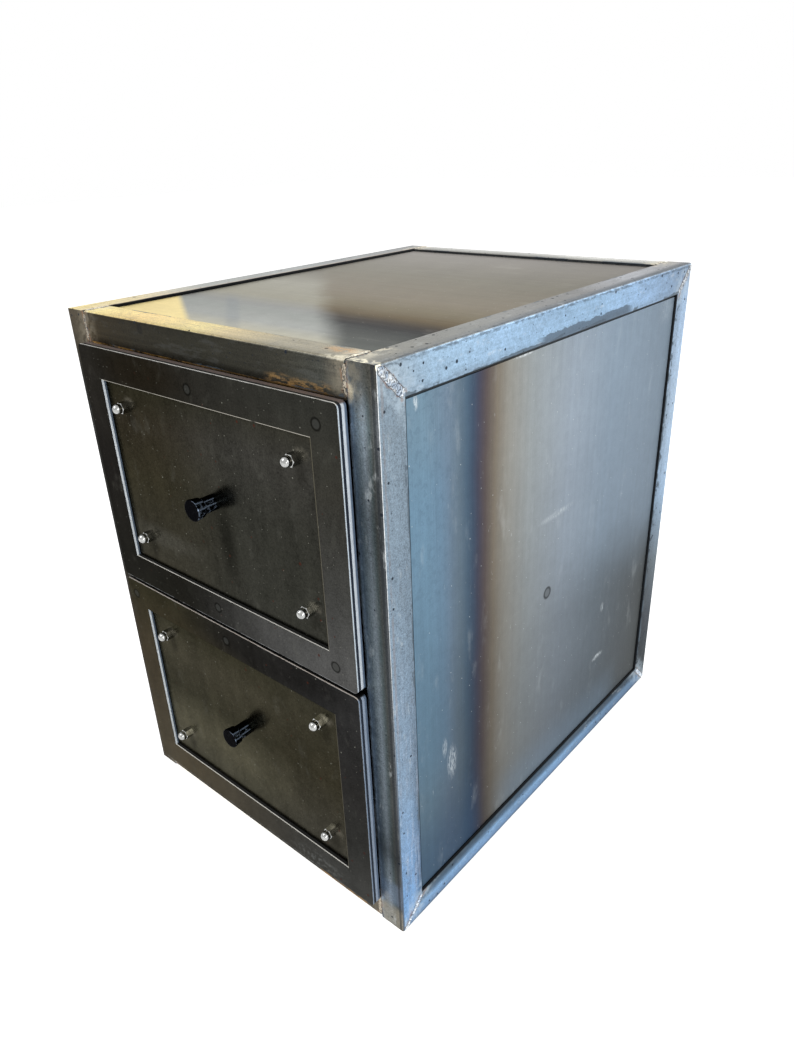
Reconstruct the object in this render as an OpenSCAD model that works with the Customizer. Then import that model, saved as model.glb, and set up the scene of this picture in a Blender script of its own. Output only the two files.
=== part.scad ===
// Small steel cabinet with two drawers on telescopic ball slides.
// A welded box-section frame carries sheet panels set back from its faces. Each drawer
// front is a thick plate with a window frame in front of it, a round knob in the middle
// and four dome nuts that hold the plate to a folded sheet tray.
// X runs across, Y from front to back and Z up. The origin is on the floor below the
// centre of the whole object, knobs included.

/* [Cabinet] */
// Width across the frame
body_w = 398; // [340:1:600]
// Depth of the frame from its front face to its back face
body_d = 512; // [480:1:700]
// Height of the frame
body_h = 550; // [500:1:760]

/* [Box section] */
// Side of the square tube
tube = 30; // [29.5:0.5:40]
// Wall of the tube
tube_wall = 2; // [1.5:0.1:2.7]
// Outside corner radius of the tube
tube_r = 3; // [2.3:0.1:6]

/* [Panels] */
// Set-back of a panel behind the frame's outer face
panel_recess = 2.5; // [2:0.5:10]
// Thickness of the panels
panel_t = 1.5; // [1:0.1:3]
// Gap between a panel's edge and the tubes round it
panel_gap = 1.5; // [0.5:0.1:4]
// Width of the flat bars behind the edges of the panels
ledge_w = 12; // [8:1:20]
// Thickness of those bars
ledge_t = 3; // [2:0.5:5]

/* [Welds] */
// Width of a weld bead
bead_w = 7; // [6:0.5:10]
// Height of a weld bead above the tube's face
bead_crown = 0.6; // [0.3:0.1:1.5]
// Depth to which a bead fills the groove at a butt joint
bead_root = 1.8; // [1:0.1:2]

/* [Drawer fronts] */
// Air between the frame's face and the plate of a front
front_clear = 2; // [1:0.5:5]
// Thickness of the plate
plate_t = 5; // [3:0.5:8]
// Thickness of the window frame in front of the plate
window_t = 4; // [2:0.5:8]
// Width of the window frame's border
border = 30.5; // [15:0.5:45]
// Corner radius of both layers
front_r = 4.5; // [1:0.5:12]
// Width of frame that shows beside the fronts
side_margin = 28; // [15:0.5:29]
// Height of frame that shows above the fronts
top_margin = 28; // [15:0.5:29]
// Height of frame that shows below the fronts
bottom_margin = 24.5; // [15:0.5:29]
// Gap between the two fronts
front_gap = 4.5; // [2:0.5:12]

/* [Knobs] */
// Height of the knob's centre above the centre of its front
hardware_rise = 2.5; // [-10:0.5:10]
// Diameter of the knob's head at its face
knob_d = 20.5; // [19:0.5:40]
// How much narrower the head is at its back
knob_taper = 2; // [0:0.25:3]
// Thickness of the knob's head
knob_head = 10; // [8:0.5:20]
// Radius round the edges of the head
knob_edge = 1.2; // [0.3:0.1:3]
// Diameter of the knob's neck
neck_d = 15; // [11:0.5:15.5]
// Length of the knob's neck
neck_len = 11.5; // [8:0.5:20]

/* [Dome nuts and bolts] */
// Distance between the two columns of dome nuts
nut_span_x = 231; // [100:1:255]
// Distance between the two rows of dome nuts
nut_span_z = 134; // [80:1:150]
// Thread diameter of the bolts
bolt_d = 6; // [5:0.5:6]
// Width across the flats of nuts and bolt heads
nut_af = 10; // [9.5:0.5:13]
// Diameter to which the corners of nuts and bolt heads are turned
turned_d = 9.6; // [9.5:0.1:10.5]
// Height of the hexagon under a dome
nut_h = 5; // [4:0.5:7]
// Diameter of the dome
dome_d = 9.5; // [8.5:0.1:9.5]
// Height of a dome nut with its dome
nut_total = 12; // [11:0.5:18]
// Height of a bolt's head
bolt_head = 4; // [3:0.5:6]
// Length of thread inside a dome nut
nut_thread = 7.5; // [5:0.5:8]
// Length of thread inside a knob
knob_thread = 10; // [6:0.5:14]

/* [Trays] */
// Height of a tray
tray_h = 190; // [175:1:200]
// Height of a tray's floor above the lower edge of its front
tray_rise = 24.5; // [15:0.5:30]
// Sheet thickness of the trays
sheet_t = 1.5; // [1:0.1:2]
// Inside radius of the folds
bend_r = 1.5; // [1:0.1:4]
// Width of the lip folded inward along each side of a tray
tray_lip = 12; // [8:1:20]
// Width of the flanges on a tray's end walls
wall_flange = 12; // [8:1:20]

/* [Slides] */
// Length of a closed slide, which is also its travel
slide_len = 450; // [420:5:480]
// Set-back of the slides behind the frame's face
slide_setback = 3; // [1:0.5:8]
// Height of the slides above a tray's floor
slide_rise = 70; // [40:1:140]
// Height of a slide
slide_h = 45.2; // [42:0.1:60]
// Sheet thickness of the slide members
member_t = 1.2; // [1:0.05:1.4]
// Diameter of the outer balls
outer_ball_d = 3.6; // [3.2:0.1:4.4]
// Diameter of the inner balls
inner_ball_d = 3.2; // [3:0.1:3.6]
// Angle at which the races grip a row of balls
grip_angle = 55; // [50:1:60]
// Radius of the folds beside the races
fold_r = 1.1; // [1:0.05:1.4]
// Sheet thickness of a ball cage
cage_t = 0.6; // [0.4:0.05:0.6]
// Number of balls in a row
balls = 8; // [4:1:8]
// Distance between the balls of a row
ball_pitch = 24; // [8:1:25]
// Height of the flat bar behind a slide
bar_h = 50; // [46:1:70]
// Thickness of that bar
bar_t = 3; // [2.5:0.5:6]
// Distance from the frame's front face, and from the back panel's bars, to its ends
bar_inset = 4; // [1:1:20]

/* [Slide screws] */
// Thread diameter of the slide screws
screw_d = 4; // [3:0.5:4.5]
// Diameter of their heads
screw_head_d = 7.5; // [7:0.1:8.5]
// Height of the heads inside the trays
screw_head_h = 2.2; // [1.5:0.1:3]
// Distance from a slide's ends to its first and last screws
screw_end = 35; // [20:1:60]
// Number of screws in a cabinet member
cabinet_screws = 4; // [2:1:6]
// Number of screws in a drawer member
drawer_screws = 3; // [2:1:6]
// Length of an access slot in an intermediate member
slot_len = 26; // [16:1:40]
// Height of an access slot
slot_h = 12; // [9:0.5:18]
// Height of the lug at a slide's rear end that stops the closing drawer
lug_h = 16; // [8:1:20]
// Diameter of the foot of a button that stops a ball cage
button_d = 6; // [5:0.5:6.5]
// Diameter of the button's face
button_face_d = 4; // [3:0.5:5]

/* [Clearances] */
// Air between a ball and its races, and between sliding members
race_clear = 0.3; // [0.2:0.05:0.35]
// Air between a stop and what it stops
stop_clear = 0.3; // [0.2:0.05:0.5]
// Air round a ball in its cage
cage_clear = 0.1; // [0.05:0.05:0.2]
// Air round a screw or bolt in a drilled hole
hole_clear = 0.25; // [0.1:0.05:0.5]
// Air round a screw or bolt in a threaded hole
thread_clear = 0.05; // [0.02:0.01:0.1]
// Air between a tray's end wall and its shell
wall_clear = 0.1; // [0.05:0.05:0.3]

/* [Hidden] */
$fn = 48;

// Sides and levels
left = -1;
right = 1;
front = 0;
rear = 1;
lower = 0;
upper = 1;

// Places of the frame, with the frame's front face at y = 0 before the last shift
tube_x = (body_w - tube) / 2;
cross_len = body_w - 2 * tube;
deck_d = body_d - 2 * tube;
deck_h = body_h - 2 * tube;

// Places of the fronts and of what they carry
front_w = body_w - 2 * side_margin;
front_h = (body_h - top_margin - bottom_margin - front_gap) / 2;
hardware_z = front_h / 2 + hardware_rise;
plate_face = front_clear + plate_t;
knob_reach = plate_face + neck_len + knob_head;
bolt_r = bolt_d / 2;
screw_r = screw_d / 2;
bolt_grip = plate_t + sheet_t;

// The object runs from the knobs' faces to the beads on the back
face_y = (knob_reach - body_d - bead_crown) / 2;

// Slide section: u runs from the mounting face towards the tray, v up from the middle
member_half = member_t / 2;
outer_race = outer_ball_d / 2 + race_clear + member_half;
inner_race = inner_ball_d / 2 + race_clear + member_half;
outer_cage_u = member_t + race_clear;
middle_web = outer_cage_u + cage_t + race_clear + member_half;
corner_r = 2 * member_half;
lean = [cos(grip_angle), -sin(grip_angle)];
outer_v = slide_h / 2 - member_half - outer_race;
outer_centre = [middle_web + fold_r + (outer_race + fold_r) * lean[0], outer_v];
fold_centre = [middle_web + fold_r, outer_v + (outer_race + fold_r) * lean[1]];
inner_centre = outer_centre + (outer_race + inner_race) * lean;
tray_fold_centre = inner_centre + (inner_race + fold_r) * lean;
inner_cage_u = inner_centre[0] - (inner_race + member_half) * lean[0] - race_clear - cage_t;
slide_t = tray_fold_centre[0] + fold_r + member_half;
lip_angle = 35;
middle_lip_angle = 20;
cage_rim = 0.8;
cage_len = balls * ball_pitch;
cage_start = (slide_len - cage_len) / 2;

// The inner members end short of the lug, and a button meets a cage at full extension
inner_len = slide_len - member_t - stop_clear;
button_y = cage_start - slide_len / 4 - stop_clear - button_d / 2;

// Each fold is [centre, radius of the sheet's middle, start angle, end angle]
cabinet_folds = [
    [[member_half + corner_r, slide_h / 2 - member_half - corner_r], corner_r, 180, 90],
    [outer_centre, outer_race, 90, lip_angle]
];
middle_folds = [
    [fold_centre, fold_r, 180, grip_angle],
    [outer_centre, outer_race, 180 + grip_angle, 360 - grip_angle],
    [inner_centre, inner_race, 180 - grip_angle, middle_lip_angle]
];
drawer_folds = [
    [tray_fold_centre, fold_r, 0, 180 - grip_angle],
    [inner_centre, inner_race, 360 - grip_angle, 180 + grip_angle]
];

// Places of the slides and trays
slide_x = body_w / 2 - tube - bar_t;
tray_w = 2 * (slide_x - slide_t);
tray_len = front_clear + slide_setback + slide_len;
bar_len = body_d - panel_recess - panel_t - ledge_t - 2 * bar_inset;

// Cuts run past the faces that they open by this much
past = 1;

steel = [0.47, 0.48, 0.5];
dark_steel = [0.3, 0.29, 0.28];
zinc = [0.72, 0.73, 0.75];
black = [0.05, 0.05, 0.05];
weld_steel = [0.62, 0.62, 0.64];

// ---------------------------------------------------------------- shared shapes

module rounded_square(w, h, r) {
    square([w - 2 * r, h], center = true);
    square([w, h - 2 * r], center = true);
    for (x = [-1, 1], y = [-1, 1])
        translate([x * (w / 2 - r), y * (h / 2 - r)]) circle(r);
}

// A flat shape drawn in X and Z, made long from y = 0 towards the back
module along_y(length) {
    translate([0, length, 0]) rotate([90, 0, 0]) linear_extrude(length) children();
}

// A flat shape drawn in Y and Z, made long from x = 0 to the right
module along_x(length) {
    rotate([90, 0, 90]) linear_extrude(length) children();
}

// A rod or hole that starts at y = 0 and runs towards the front
module peg(r, length) {
    rotate([90, 0, 0]) cylinder(r = r, h = length);
}

module hexagon(af) {
    circle(r = af / 2 / cos(30), $fn = 6);
}

// A hexagonal prism from z = 0, with the corners of its far face turned off
module turned_hexagon(height) {
    corner_angle = 30;
    intersection() {
        linear_extrude(height) hexagon(nut_af);
        cylinder(r1 = turned_d / 2 + height / tan(corner_angle), r2 = turned_d / 2, h = height);
    }
}

module in_cabinet() {
    translate([0, face_y, 0]) children();
}

// Puts a drawer's pieces at their level: z = 0 is the lower edge of the front
module in_drawer(level) {
    in_cabinet() translate([0, 0, bottom_margin + level * (front_h + front_gap)]) children();
}

// ---------------------------------------------------------------- welded frame

module tube_section() {
    difference() {
        rounded_square(tube, tube, tube_r);
        rounded_square(tube - 2 * tube_wall, tube - 2 * tube_wall, tube_r - tube_wall);
    }
}

// The part of a side frame between the two 45 degree cuts at a post's ends
module post_mitre() {
    polygon([[0, 0], [tube, tube], [tube, body_h - tube], [0, body_h]]);
}

module rail_mitre() {
    polygon([[0, 0], [body_d, 0], [body_d - tube, tube], [tube, tube]]);
}

module post(side, end) {
    in_cabinet() translate([side * tube_x, end * body_d, 0]) mirror([0, end, 0])
        intersection() {
            translate([0, tube / 2, 0]) linear_extrude(body_h) tube_section();
            translate([-tube, 0, 0]) along_x(2 * tube) post_mitre();
        }
}

module side_rail(side, top) {
    in_cabinet() translate([side * tube_x, 0, top * body_h]) mirror([0, 0, top])
        intersection() {
            translate([0, 0, tube / 2]) along_y(body_d) tube_section();
            translate([-tube, 0, 0]) along_x(2 * tube) rail_mitre();
        }
}

module cross_rail(end, top) {
    y = end == front ? tube / 2 : body_d - tube / 2;
    z = top == lower ? tube / 2 : body_h - tube / 2;
    in_cabinet() translate([-cross_len / 2, y, z]) along_x(cross_len) tube_section();
}

// Low crown of weld metal above a flat face, drawn in X and Z
module bead_cap() {
    rise = (bead_w * bead_w / 4 - bead_crown * bead_crown) / (2 * bead_crown);
    intersection() {
        translate([0, -rise]) circle(rise + bead_crown, $fn = 180);
        translate([-bead_w / 2, 0]) square([bead_w, bead_crown + past]);
    }
}

// The same crown with the root that fills the groove beside a tube's round corner
module bead_with_root() {
    bead_cap();
    intersection() {
        difference() {
            translate([-tube_r, -tube_r]) square(tube_r);
            translate([-tube_r, -tube_r]) circle(tube_r);
        }
        translate([-tube_r, -bead_root]) square([tube_r, bead_root]);
    }
}

// Bead across a mitre on the outer face of a side frame
module mitre_bead(side) {
    length = sqrt(2) * (tube - 2 * tube_r);
    translate([side * body_w / 2, tube / 2, tube / 2]) rotate([45, 0, 0])
        rotate([0, side * 90, 0]) translate([0, -length / 2, 0]) along_y(length) bead_cap();
}

// Bead on a face of the butt joint between a side frame and a cross rail
module butt_bead() {
    translate([cross_len / 2, tube_r, 0]) mirror([1, 0, 0])
        along_y(tube - 2 * tube_r) bead_with_root();
}

module weld_beads() {
    color(weld_steel) in_cabinet() {
        for (side = [left, right], end = [front, rear], top = [lower, upper])
            translate([0, end * body_d, top * body_h])
                mirror([0, end, 0]) mirror([0, 0, top]) mitre_bead(side);
        for (side = [0, 1], end = [front, rear])
            translate([0, end * body_d, 0]) mirror([side, 0, 0]) mirror([0, end, 0]) {
                translate([0, 0, body_h]) butt_bead();
                rotate([90, 0, 0]) butt_bead();
                translate([0, 0, body_h - tube]) rotate([90, 0, 0]) butt_bead();
            }
    }
}

module left_front_post() { color(steel) post(left, front); }
module right_front_post() { color(steel) post(right, front); }
module left_rear_post() { color(steel) post(left, rear); }
module right_rear_post() { color(steel) post(right, rear); }
module left_top_rail() { color(steel) side_rail(left, upper); }
module right_top_rail() { color(steel) side_rail(right, upper); }
module left_bottom_rail() { color(steel) side_rail(left, lower); }
module right_bottom_rail() { color(steel) side_rail(right, lower); }
module front_top_rail() { color(steel) cross_rail(front, upper); }
module rear_top_rail() { color(steel) cross_rail(rear, upper); }
module front_bottom_rail() { color(steel) cross_rail(front, lower); }
module rear_bottom_rail() { color(steel) cross_rail(rear, lower); }

// ---------------------------------------------------------------- panels

// Places what is drawn flat, with its outer face at z = 0, into an opening of the frame
module side_opening(side) {
    in_cabinet() translate([side * body_w / 2, body_d / 2, body_h / 2])
        rotate([0, side * 90, 0]) translate([0, 0, -panel_recess]) children();
}

module top_opening() {
    in_cabinet() translate([0, body_d / 2, body_h - panel_recess]) children();
}

module bottom_opening() {
    in_cabinet() translate([0, body_d / 2, panel_recess]) rotate([0, 180, 0]) children();
}

module back_opening() {
    in_cabinet() translate([0, body_d - panel_recess, body_h / 2])
        rotate([-90, 0, 0]) children();
}

module panel(w, h) {
    translate([0, 0, -panel_t]) linear_extrude(panel_t)
        square([w - 2 * panel_gap, h - 2 * panel_gap], center = true);
}

// Four flat bars that line an opening behind its panel
module ledge_bars(w, h) {
    translate([0, 0, -panel_t - ledge_t]) linear_extrude(ledge_t) {
        for (y = [-1, 1])
            translate([0, y * (h - ledge_w) / 2]) square([w, ledge_w], center = true);
    }
    translate([0, 0, -panel_t - ledge_t]) linear_extrude(ledge_t) {
        for (x = [-1, 1])
            translate([x * (w - ledge_w) / 2, 0])
                square([ledge_w, h - 2 * ledge_w], center = true);
    }
}

module left_side_panel() { color(steel) side_opening(left) panel(deck_h, deck_d); }
module right_side_panel() { color(steel) side_opening(right) panel(deck_h, deck_d); }
module top_panel() { color(steel) top_opening() panel(cross_len, deck_d); }
module bottom_panel() { color(steel) bottom_opening() panel(cross_len, deck_d); }
module back_panel() { color(steel) back_opening() panel(cross_len, deck_h); }

module panel_ledges() {
    color(dark_steel) {
        side_opening(left) ledge_bars(deck_h, deck_d);
        side_opening(right) ledge_bars(deck_h, deck_d);
        top_opening() ledge_bars(cross_len, deck_d);
        bottom_opening() ledge_bars(cross_len, deck_d);
        back_opening() ledge_bars(cross_len, deck_h);
    }
}

// ---------------------------------------------------------------- telescopic slides

// Puts a slide at its side: x = 0 is the mounting face, y = 0 the slide's front end
module at_slide(level, side) {
    in_drawer(level) translate([side * slide_x, slide_setback, tray_rise + slide_rise])
        mirror([side == right ? 1 : 0, 0, 0]) children();
}

// Points of a fold at an offset from the middle of the sheet, to the left of its run
function fold_points(fold, offset) =
    let (
        turn = fold[3] > fold[2] ? 1 : -1,
        steps = ceil(abs(fold[3] - fold[2]) / 9)
    )
    [for (i = [0:steps])
        let (angle = fold[2] + (fold[3] - fold[2]) * i / steps)
        fold[0] + (fold[1] - turn * offset) * [cos(angle), sin(angle)]];

function face_points(folds, offset) =
    [for (fold = folds) each fold_points(fold, offset)];

function reversed(list) = [for (i = [len(list) - 1:-1:0]) list[i]];

// The same folds below the middle of the section, in the order that leads up to it
function below(folds) =
    [for (fold = reversed(folds))
        [[fold[0][0], -fold[0][1]], fold[1], -fold[3], -fold[2]]];

// Section of a member, one sheet folded along its run from lip to lip
module member_section(folds) {
    run = concat(below(folds), folds);
    polygon(concat(face_points(run, member_half), reversed(face_points(run, -member_half))));
}

function screw_y(i, count) = screw_end + i * (slide_len - 2 * screw_end) / (count - 1);

module countersunk(r, extra) {
    slope = screw_head_d / 2 - screw_r;
    rotate([0, -90, 0]) {
        cylinder(r1 = screw_head_d / 2 + extra, r2 = screw_r + extra, h = slope);
        cylinder(r = r, h = member_t + bar_t);
    }
}

// Button pressed out of a sheet, from the sheet's middle at x = 0 to x = reach
module stop_button(reach) {
    rotate([0, sign(reach) * 90, 0])
        cylinder(r1 = button_d / 2, r2 = button_face_d / 2, h = abs(reach));
}

module cabinet_member(level, side) {
    cage_back = outer_cage_u + cage_t;
    color(zinc) at_slide(level, side) {
        difference() {
            along_y(slide_len) member_section(cabinet_folds);
            for (i = [0:cabinet_screws - 1])
                translate([member_t, screw_y(i, cabinet_screws), 0])
                    countersunk(screw_r + hole_clear, hole_clear);
        }
        translate([member_half, slide_len - member_t, -lug_h / 2])
            cube([slide_t - member_t, member_t, lug_h]);
        translate([member_half, button_y, 0]) stop_button(cage_back - member_half);
    }
}

module access_slot() {
    along_x(2 * member_t) {
        square([slot_len - slot_h, slot_h], center = true);
        for (y = [-1, 1])
            translate([y * (slot_len - slot_h) / 2, 0]) circle(slot_h / 2);
    }
}

module intermediate_member(level, side) {
    cage_back = inner_cage_u + cage_t;
    color(zinc) at_slide(level, side) {
        difference() {
            along_y(inner_len) member_section(middle_folds);
            for (i = [0:cabinet_screws - 1])
                translate([middle_web - member_t, screw_y(i, cabinet_screws), 0]) access_slot();
        }
        translate([middle_web, button_y, 0]) stop_button(cage_back - middle_web);
        translate([middle_web, slide_len - button_y, 0]) stop_button(outer_cage_u - middle_web);
    }
}

module drawer_member(level, side) {
    drawer_web = slide_t - member_half;
    color(zinc) at_slide(level, side) {
        difference() {
            along_y(inner_len) member_section(drawer_folds);
            for (i = [0:drawer_screws - 1])
                translate([slide_t + past, screw_y(i, drawer_screws), 0]) rotate([0, -90, 0])
                    cylinder(r = screw_r + thread_clear, h = member_t + 2 * past);
        }
        translate([drawer_web, slide_len - button_y, 0]) stop_button(inner_cage_u - drawer_web);
    }
}

// A folded strip with its two rows of balls, drawn round the balls' centre
module ball_cage(level, side, centre, ball_d, web_u) {
    rim = centre[0] + ball_d / 2 + cage_clear + cage_rim;
    at_slide(level, side) {
        color(zinc) translate([0, cage_start, 0]) difference() {
            along_y(cage_len) {
                translate([web_u, -centre[1]]) square([cage_t, 2 * centre[1]]);
                for (v = [-1, 1])
                    translate([web_u, v * centre[1] - cage_t / 2])
                        square([rim - web_u, cage_t]);
            }
            for (i = [0:balls - 1], v = [-1, 1])
                translate([centre[0], (i + 0.5) * ball_pitch, v * centre[1]])
                    cylinder(r = ball_d / 2 + cage_clear, h = 2 * cage_t, center = true);
        }
        color(steel)
            for (i = [0:balls - 1], v = [-1, 1])
                translate([centre[0], cage_start + (i + 0.5) * ball_pitch, v * centre[1]])
                    sphere(ball_d / 2);
    }
}

module outer_ball_cage(level, side) {
    ball_cage(level, side, outer_centre, outer_ball_d, outer_cage_u);
}

module inner_ball_cage(level, side) {
    ball_cage(level, side, inner_centre, inner_ball_d, inner_cage_u);
}

module upper_left_cabinet_member() { cabinet_member(upper, left); }
module upper_right_cabinet_member() { cabinet_member(upper, right); }
module lower_left_cabinet_member() { cabinet_member(lower, left); }
module lower_right_cabinet_member() { cabinet_member(lower, right); }
module upper_left_intermediate_member() { intermediate_member(upper, left); }
module upper_right_intermediate_member() { intermediate_member(upper, right); }
module lower_left_intermediate_member() { intermediate_member(lower, left); }
module lower_right_intermediate_member() { intermediate_member(lower, right); }
module upper_left_drawer_member() { drawer_member(upper, left); }
module upper_right_drawer_member() { drawer_member(upper, right); }
module lower_left_drawer_member() { drawer_member(lower, left); }
module lower_right_drawer_member() { drawer_member(lower, right); }
module upper_left_outer_ball_cage() { outer_ball_cage(upper, left); }
module upper_right_outer_ball_cage() { outer_ball_cage(upper, right); }
module lower_left_outer_ball_cage() { outer_ball_cage(lower, left); }
module lower_right_outer_ball_cage() { outer_ball_cage(lower, right); }
module upper_left_inner_ball_cage() { inner_ball_cage(upper, left); }
module upper_right_inner_ball_cage() { inner_ball_cage(upper, right); }
module lower_left_inner_ball_cage() { inner_ball_cage(lower, left); }
module lower_right_inner_ball_cage() { inner_ball_cage(lower, right); }

// Flat bars from post to post that carry the cabinet members
module slide_bars() {
    color(dark_steel)
        for (level = [lower, upper], side = [left, right])
            at_slide(level, side) difference() {
                translate([-bar_t, bar_inset - slide_setback, -bar_h / 2])
                    cube([bar_t, bar_len, bar_h]);
                for (i = [0:cabinet_screws - 1])
                    translate([member_t, screw_y(i, cabinet_screws), 0]) {
                        countersunk(screw_r + thread_clear, hole_clear);
                        translate([-member_t, 0, 0]) rotate([0, -90, 0])
                            cylinder(r = screw_r + thread_clear, h = bar_t + past);
                    }
            }
}

module cabinet_slide_screws() {
    color(zinc)
        for (level = [lower, upper], side = [left, right], i = [0:cabinet_screws - 1])
            at_slide(level, side) translate([member_t, screw_y(i, cabinet_screws), 0])
                countersunk(screw_r, 0);
}

// ---------------------------------------------------------------- drawer fronts

module front_outline() {
    translate([0, front_h / 2]) rounded_square(front_w, front_h, front_r);
}

// Centres of the four bolts, in X and Z
module at_bolts() {
    for (x = [-1, 1], z = [-1, 1])
        translate([x * nut_span_x / 2, 0, hardware_z + z * nut_span_z / 2]) children();
}

// Holes for the bolts and for the knob's screw, through all that they clamp
module front_holes() {
    translate([0, tray_lip, 0]) {
        at_bolts() peg(bolt_r + hole_clear, plate_face + 2 * tray_lip);
        translate([0, 0, hardware_z]) peg(bolt_r + hole_clear, plate_face + 2 * tray_lip);
    }
}

module window_frame(level) {
    color(dark_steel) in_drawer(level) translate([0, -plate_face - window_t, 0])
        along_y(window_t) difference() {
            front_outline();
            translate([0, front_h / 2])
                square([front_w - 2 * border, front_h - 2 * border], center = true);
        }
}

module front_plate(level) {
    color(dark_steel) in_drawer(level) difference() {
        translate([0, -plate_face, 0]) along_y(plate_t) front_outline();
        front_holes();
    }
}

// Half of the section of a knob's head, from its back at z = 0, with both edges rounded
module head_section() {
    back = [(knob_d - knob_taper) / 2 - knob_edge, knob_edge];
    face = [knob_d / 2 - knob_edge, knob_head - knob_edge];
    run = (face - back) / norm(face - back);
    out = knob_edge * [run[1], -run[0]];
    polygon([[0, 0], [back[0], 0], back + out, face + out, [face[0], knob_head], [0, knob_head]]);
    for (centre = [back, face])
        translate(centre) circle(knob_edge);
}

// Round knob on a thinner neck, drawn from the plate's face towards the front
module knob(level) {
    color(black) in_drawer(level) translate([0, -plate_face, hardware_z]) rotate([90, 0, 0])
        difference() {
            rotate_extrude($fn = 96) {
                square([neck_d / 2, neck_len + knob_edge]);
                translate([0, neck_len]) head_section();
            }
            translate([0, 0, -past])
                cylinder(r = bolt_r + thread_clear, h = knob_thread + 2 * past);
        }
}

module dome_nuts(level) {
    shoulder = nut_total - dome_d / 2;
    color(zinc) in_drawer(level) translate([0, -plate_face, 0]) at_bolts()
        rotate([90, 0, 0]) difference() {
            union() {
                turned_hexagon(nut_h);
                cylinder(r = dome_d / 2, h = shoulder);
                translate([0, 0, shoulder]) sphere(dome_d / 2);
            }
            translate([0, 0, -past])
                cylinder(r = bolt_r + thread_clear, h = nut_thread + 2 * past);
        }
}

module hex_bolt(thread) {
    rotate([90, 0, 0]) {
        rotate([180, 0, 0]) turned_hexagon(bolt_head);
        cylinder(r = bolt_r, h = bolt_grip + thread);
    }
}

// The bolts of the dome nuts and the knob's screw, with their heads inside the tray
module front_bolts(level) {
    color(zinc) in_drawer(level) translate([0, sheet_t - front_clear, 0]) {
        at_bolts() hex_bolt(nut_thread);
        translate([0, 0, hardware_z]) hex_bolt(knob_thread);
    }
}

module upper_window_frame() { window_frame(upper); }
module lower_window_frame() { window_frame(lower); }
module upper_front_plate() { front_plate(upper); }
module lower_front_plate() { front_plate(lower); }
module upper_knob() { knob(upper); }
module lower_knob() { knob(lower); }
module upper_dome_nuts() { dome_nuts(upper); }
module lower_dome_nuts() { dome_nuts(lower); }
module upper_front_bolts() { front_bolts(upper); }
module lower_front_bolts() { front_bolts(lower); }

// ---------------------------------------------------------------- trays

// Outline of the space inside a tray's shell, drawn smaller by an inset
module tray_inside(inset) {
    rounded_square(tray_w - 2 * sheet_t - 2 * inset, tray_h - 2 * sheet_t - 2 * inset, bend_r);
}

// Puts what is drawn round a tray's middle at the tray's front end
module in_tray(level) {
    in_drawer(level) translate([0, -front_clear, tray_rise + tray_h / 2]) children();
}

// Holes for the screws that hold the drawer members
module tray_screw_places(level) {
    for (side = [left, right], i = [0:drawer_screws - 1])
        at_slide(level, side)
            translate([slide_t + sheet_t, screw_y(i, drawer_screws), 0])
                rotate([0, -90, 0]) children();
}

// Floor, sides and inward lips, folded from one sheet
module tray_shell(level) {
    color(zinc) difference() {
        in_tray(level) along_y(tray_len) difference() {
            rounded_square(tray_w, tray_h, bend_r + sheet_t);
            tray_inside(0);
            translate([-tray_w / 2 + tray_lip, 0]) square([tray_w - 2 * tray_lip, tray_h]);
        }
        tray_screw_places(level)
            translate([0, 0, -past]) cylinder(r = screw_r + hole_clear, h = sheet_t + 2 * past);
    }
}

// End wall with flanges that lie on the floor and sides, drawn from its outer face
module tray_wall() {
    notch = bend_r + sheet_t;
    along_y(sheet_t) tray_inside(wall_clear);
    along_y(wall_flange) difference() {
        tray_inside(wall_clear);
        tray_inside(wall_clear + sheet_t);
        translate([-tray_w / 2 + tray_lip, 0]) square([tray_w - 2 * tray_lip, tray_h]);
        for (x = [-1, 1], z = [-1, 1])
            translate([x * (tray_w / 2 - sheet_t), z * (tray_h / 2 - sheet_t)])
                square(2 * notch + 2 * wall_clear, center = true);
        translate([-tray_w / 2, tray_h / 2 - 2 * notch]) square([tray_w, 2 * notch]);
    }
}

module tray_front_wall(level) {
    color(zinc) difference() {
        in_tray(level) tray_wall();
        in_drawer(level) front_holes();
    }
}

module tray_rear_wall(level) {
    color(zinc) in_tray(level) translate([0, tray_len, 0]) mirror([0, 1, 0]) tray_wall();
}

module tray_screws(level) {
    color(zinc) tray_screw_places(level) {
        cylinder(r = screw_r, h = sheet_t + 2 * member_t);
        translate([0, 0, -screw_head_h]) cylinder(r = screw_head_d / 2, h = screw_head_h);
    }
}

module upper_tray_shell() { tray_shell(upper); }
module lower_tray_shell() { tray_shell(lower); }
module upper_tray_front_wall() { tray_front_wall(upper); }
module lower_tray_front_wall() { tray_front_wall(lower); }
module upper_tray_rear_wall() { tray_rear_wall(upper); }
module lower_tray_rear_wall() { tray_rear_wall(lower); }
module upper_tray_screws() { tray_screws(upper); }
module lower_tray_screws() { tray_screws(lower); }

// ---------------------------------------------------------------- all pieces

left_front_post();
right_front_post();
left_rear_post();
right_rear_post();
left_top_rail();
right_top_rail();
left_bottom_rail();
right_bottom_rail();
front_top_rail();
rear_top_rail();
front_bottom_rail();
rear_bottom_rail();
weld_beads();
panel_ledges();
slide_bars();
cabinet_slide_screws();
left_side_panel();
right_side_panel();
top_panel();
bottom_panel();
back_panel();
upper_left_cabinet_member();
upper_right_cabinet_member();
lower_left_cabinet_member();
lower_right_cabinet_member();
upper_left_intermediate_member();
upper_right_intermediate_member();
lower_left_intermediate_member();
lower_right_intermediate_member();
upper_left_drawer_member();
upper_right_drawer_member();
lower_left_drawer_member();
lower_right_drawer_member();
upper_left_outer_ball_cage();
upper_right_outer_ball_cage();
lower_left_outer_ball_cage();
lower_right_outer_ball_cage();
upper_left_inner_ball_cage();
upper_right_inner_ball_cage();
lower_left_inner_ball_cage();
lower_right_inner_ball_cage();
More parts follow.
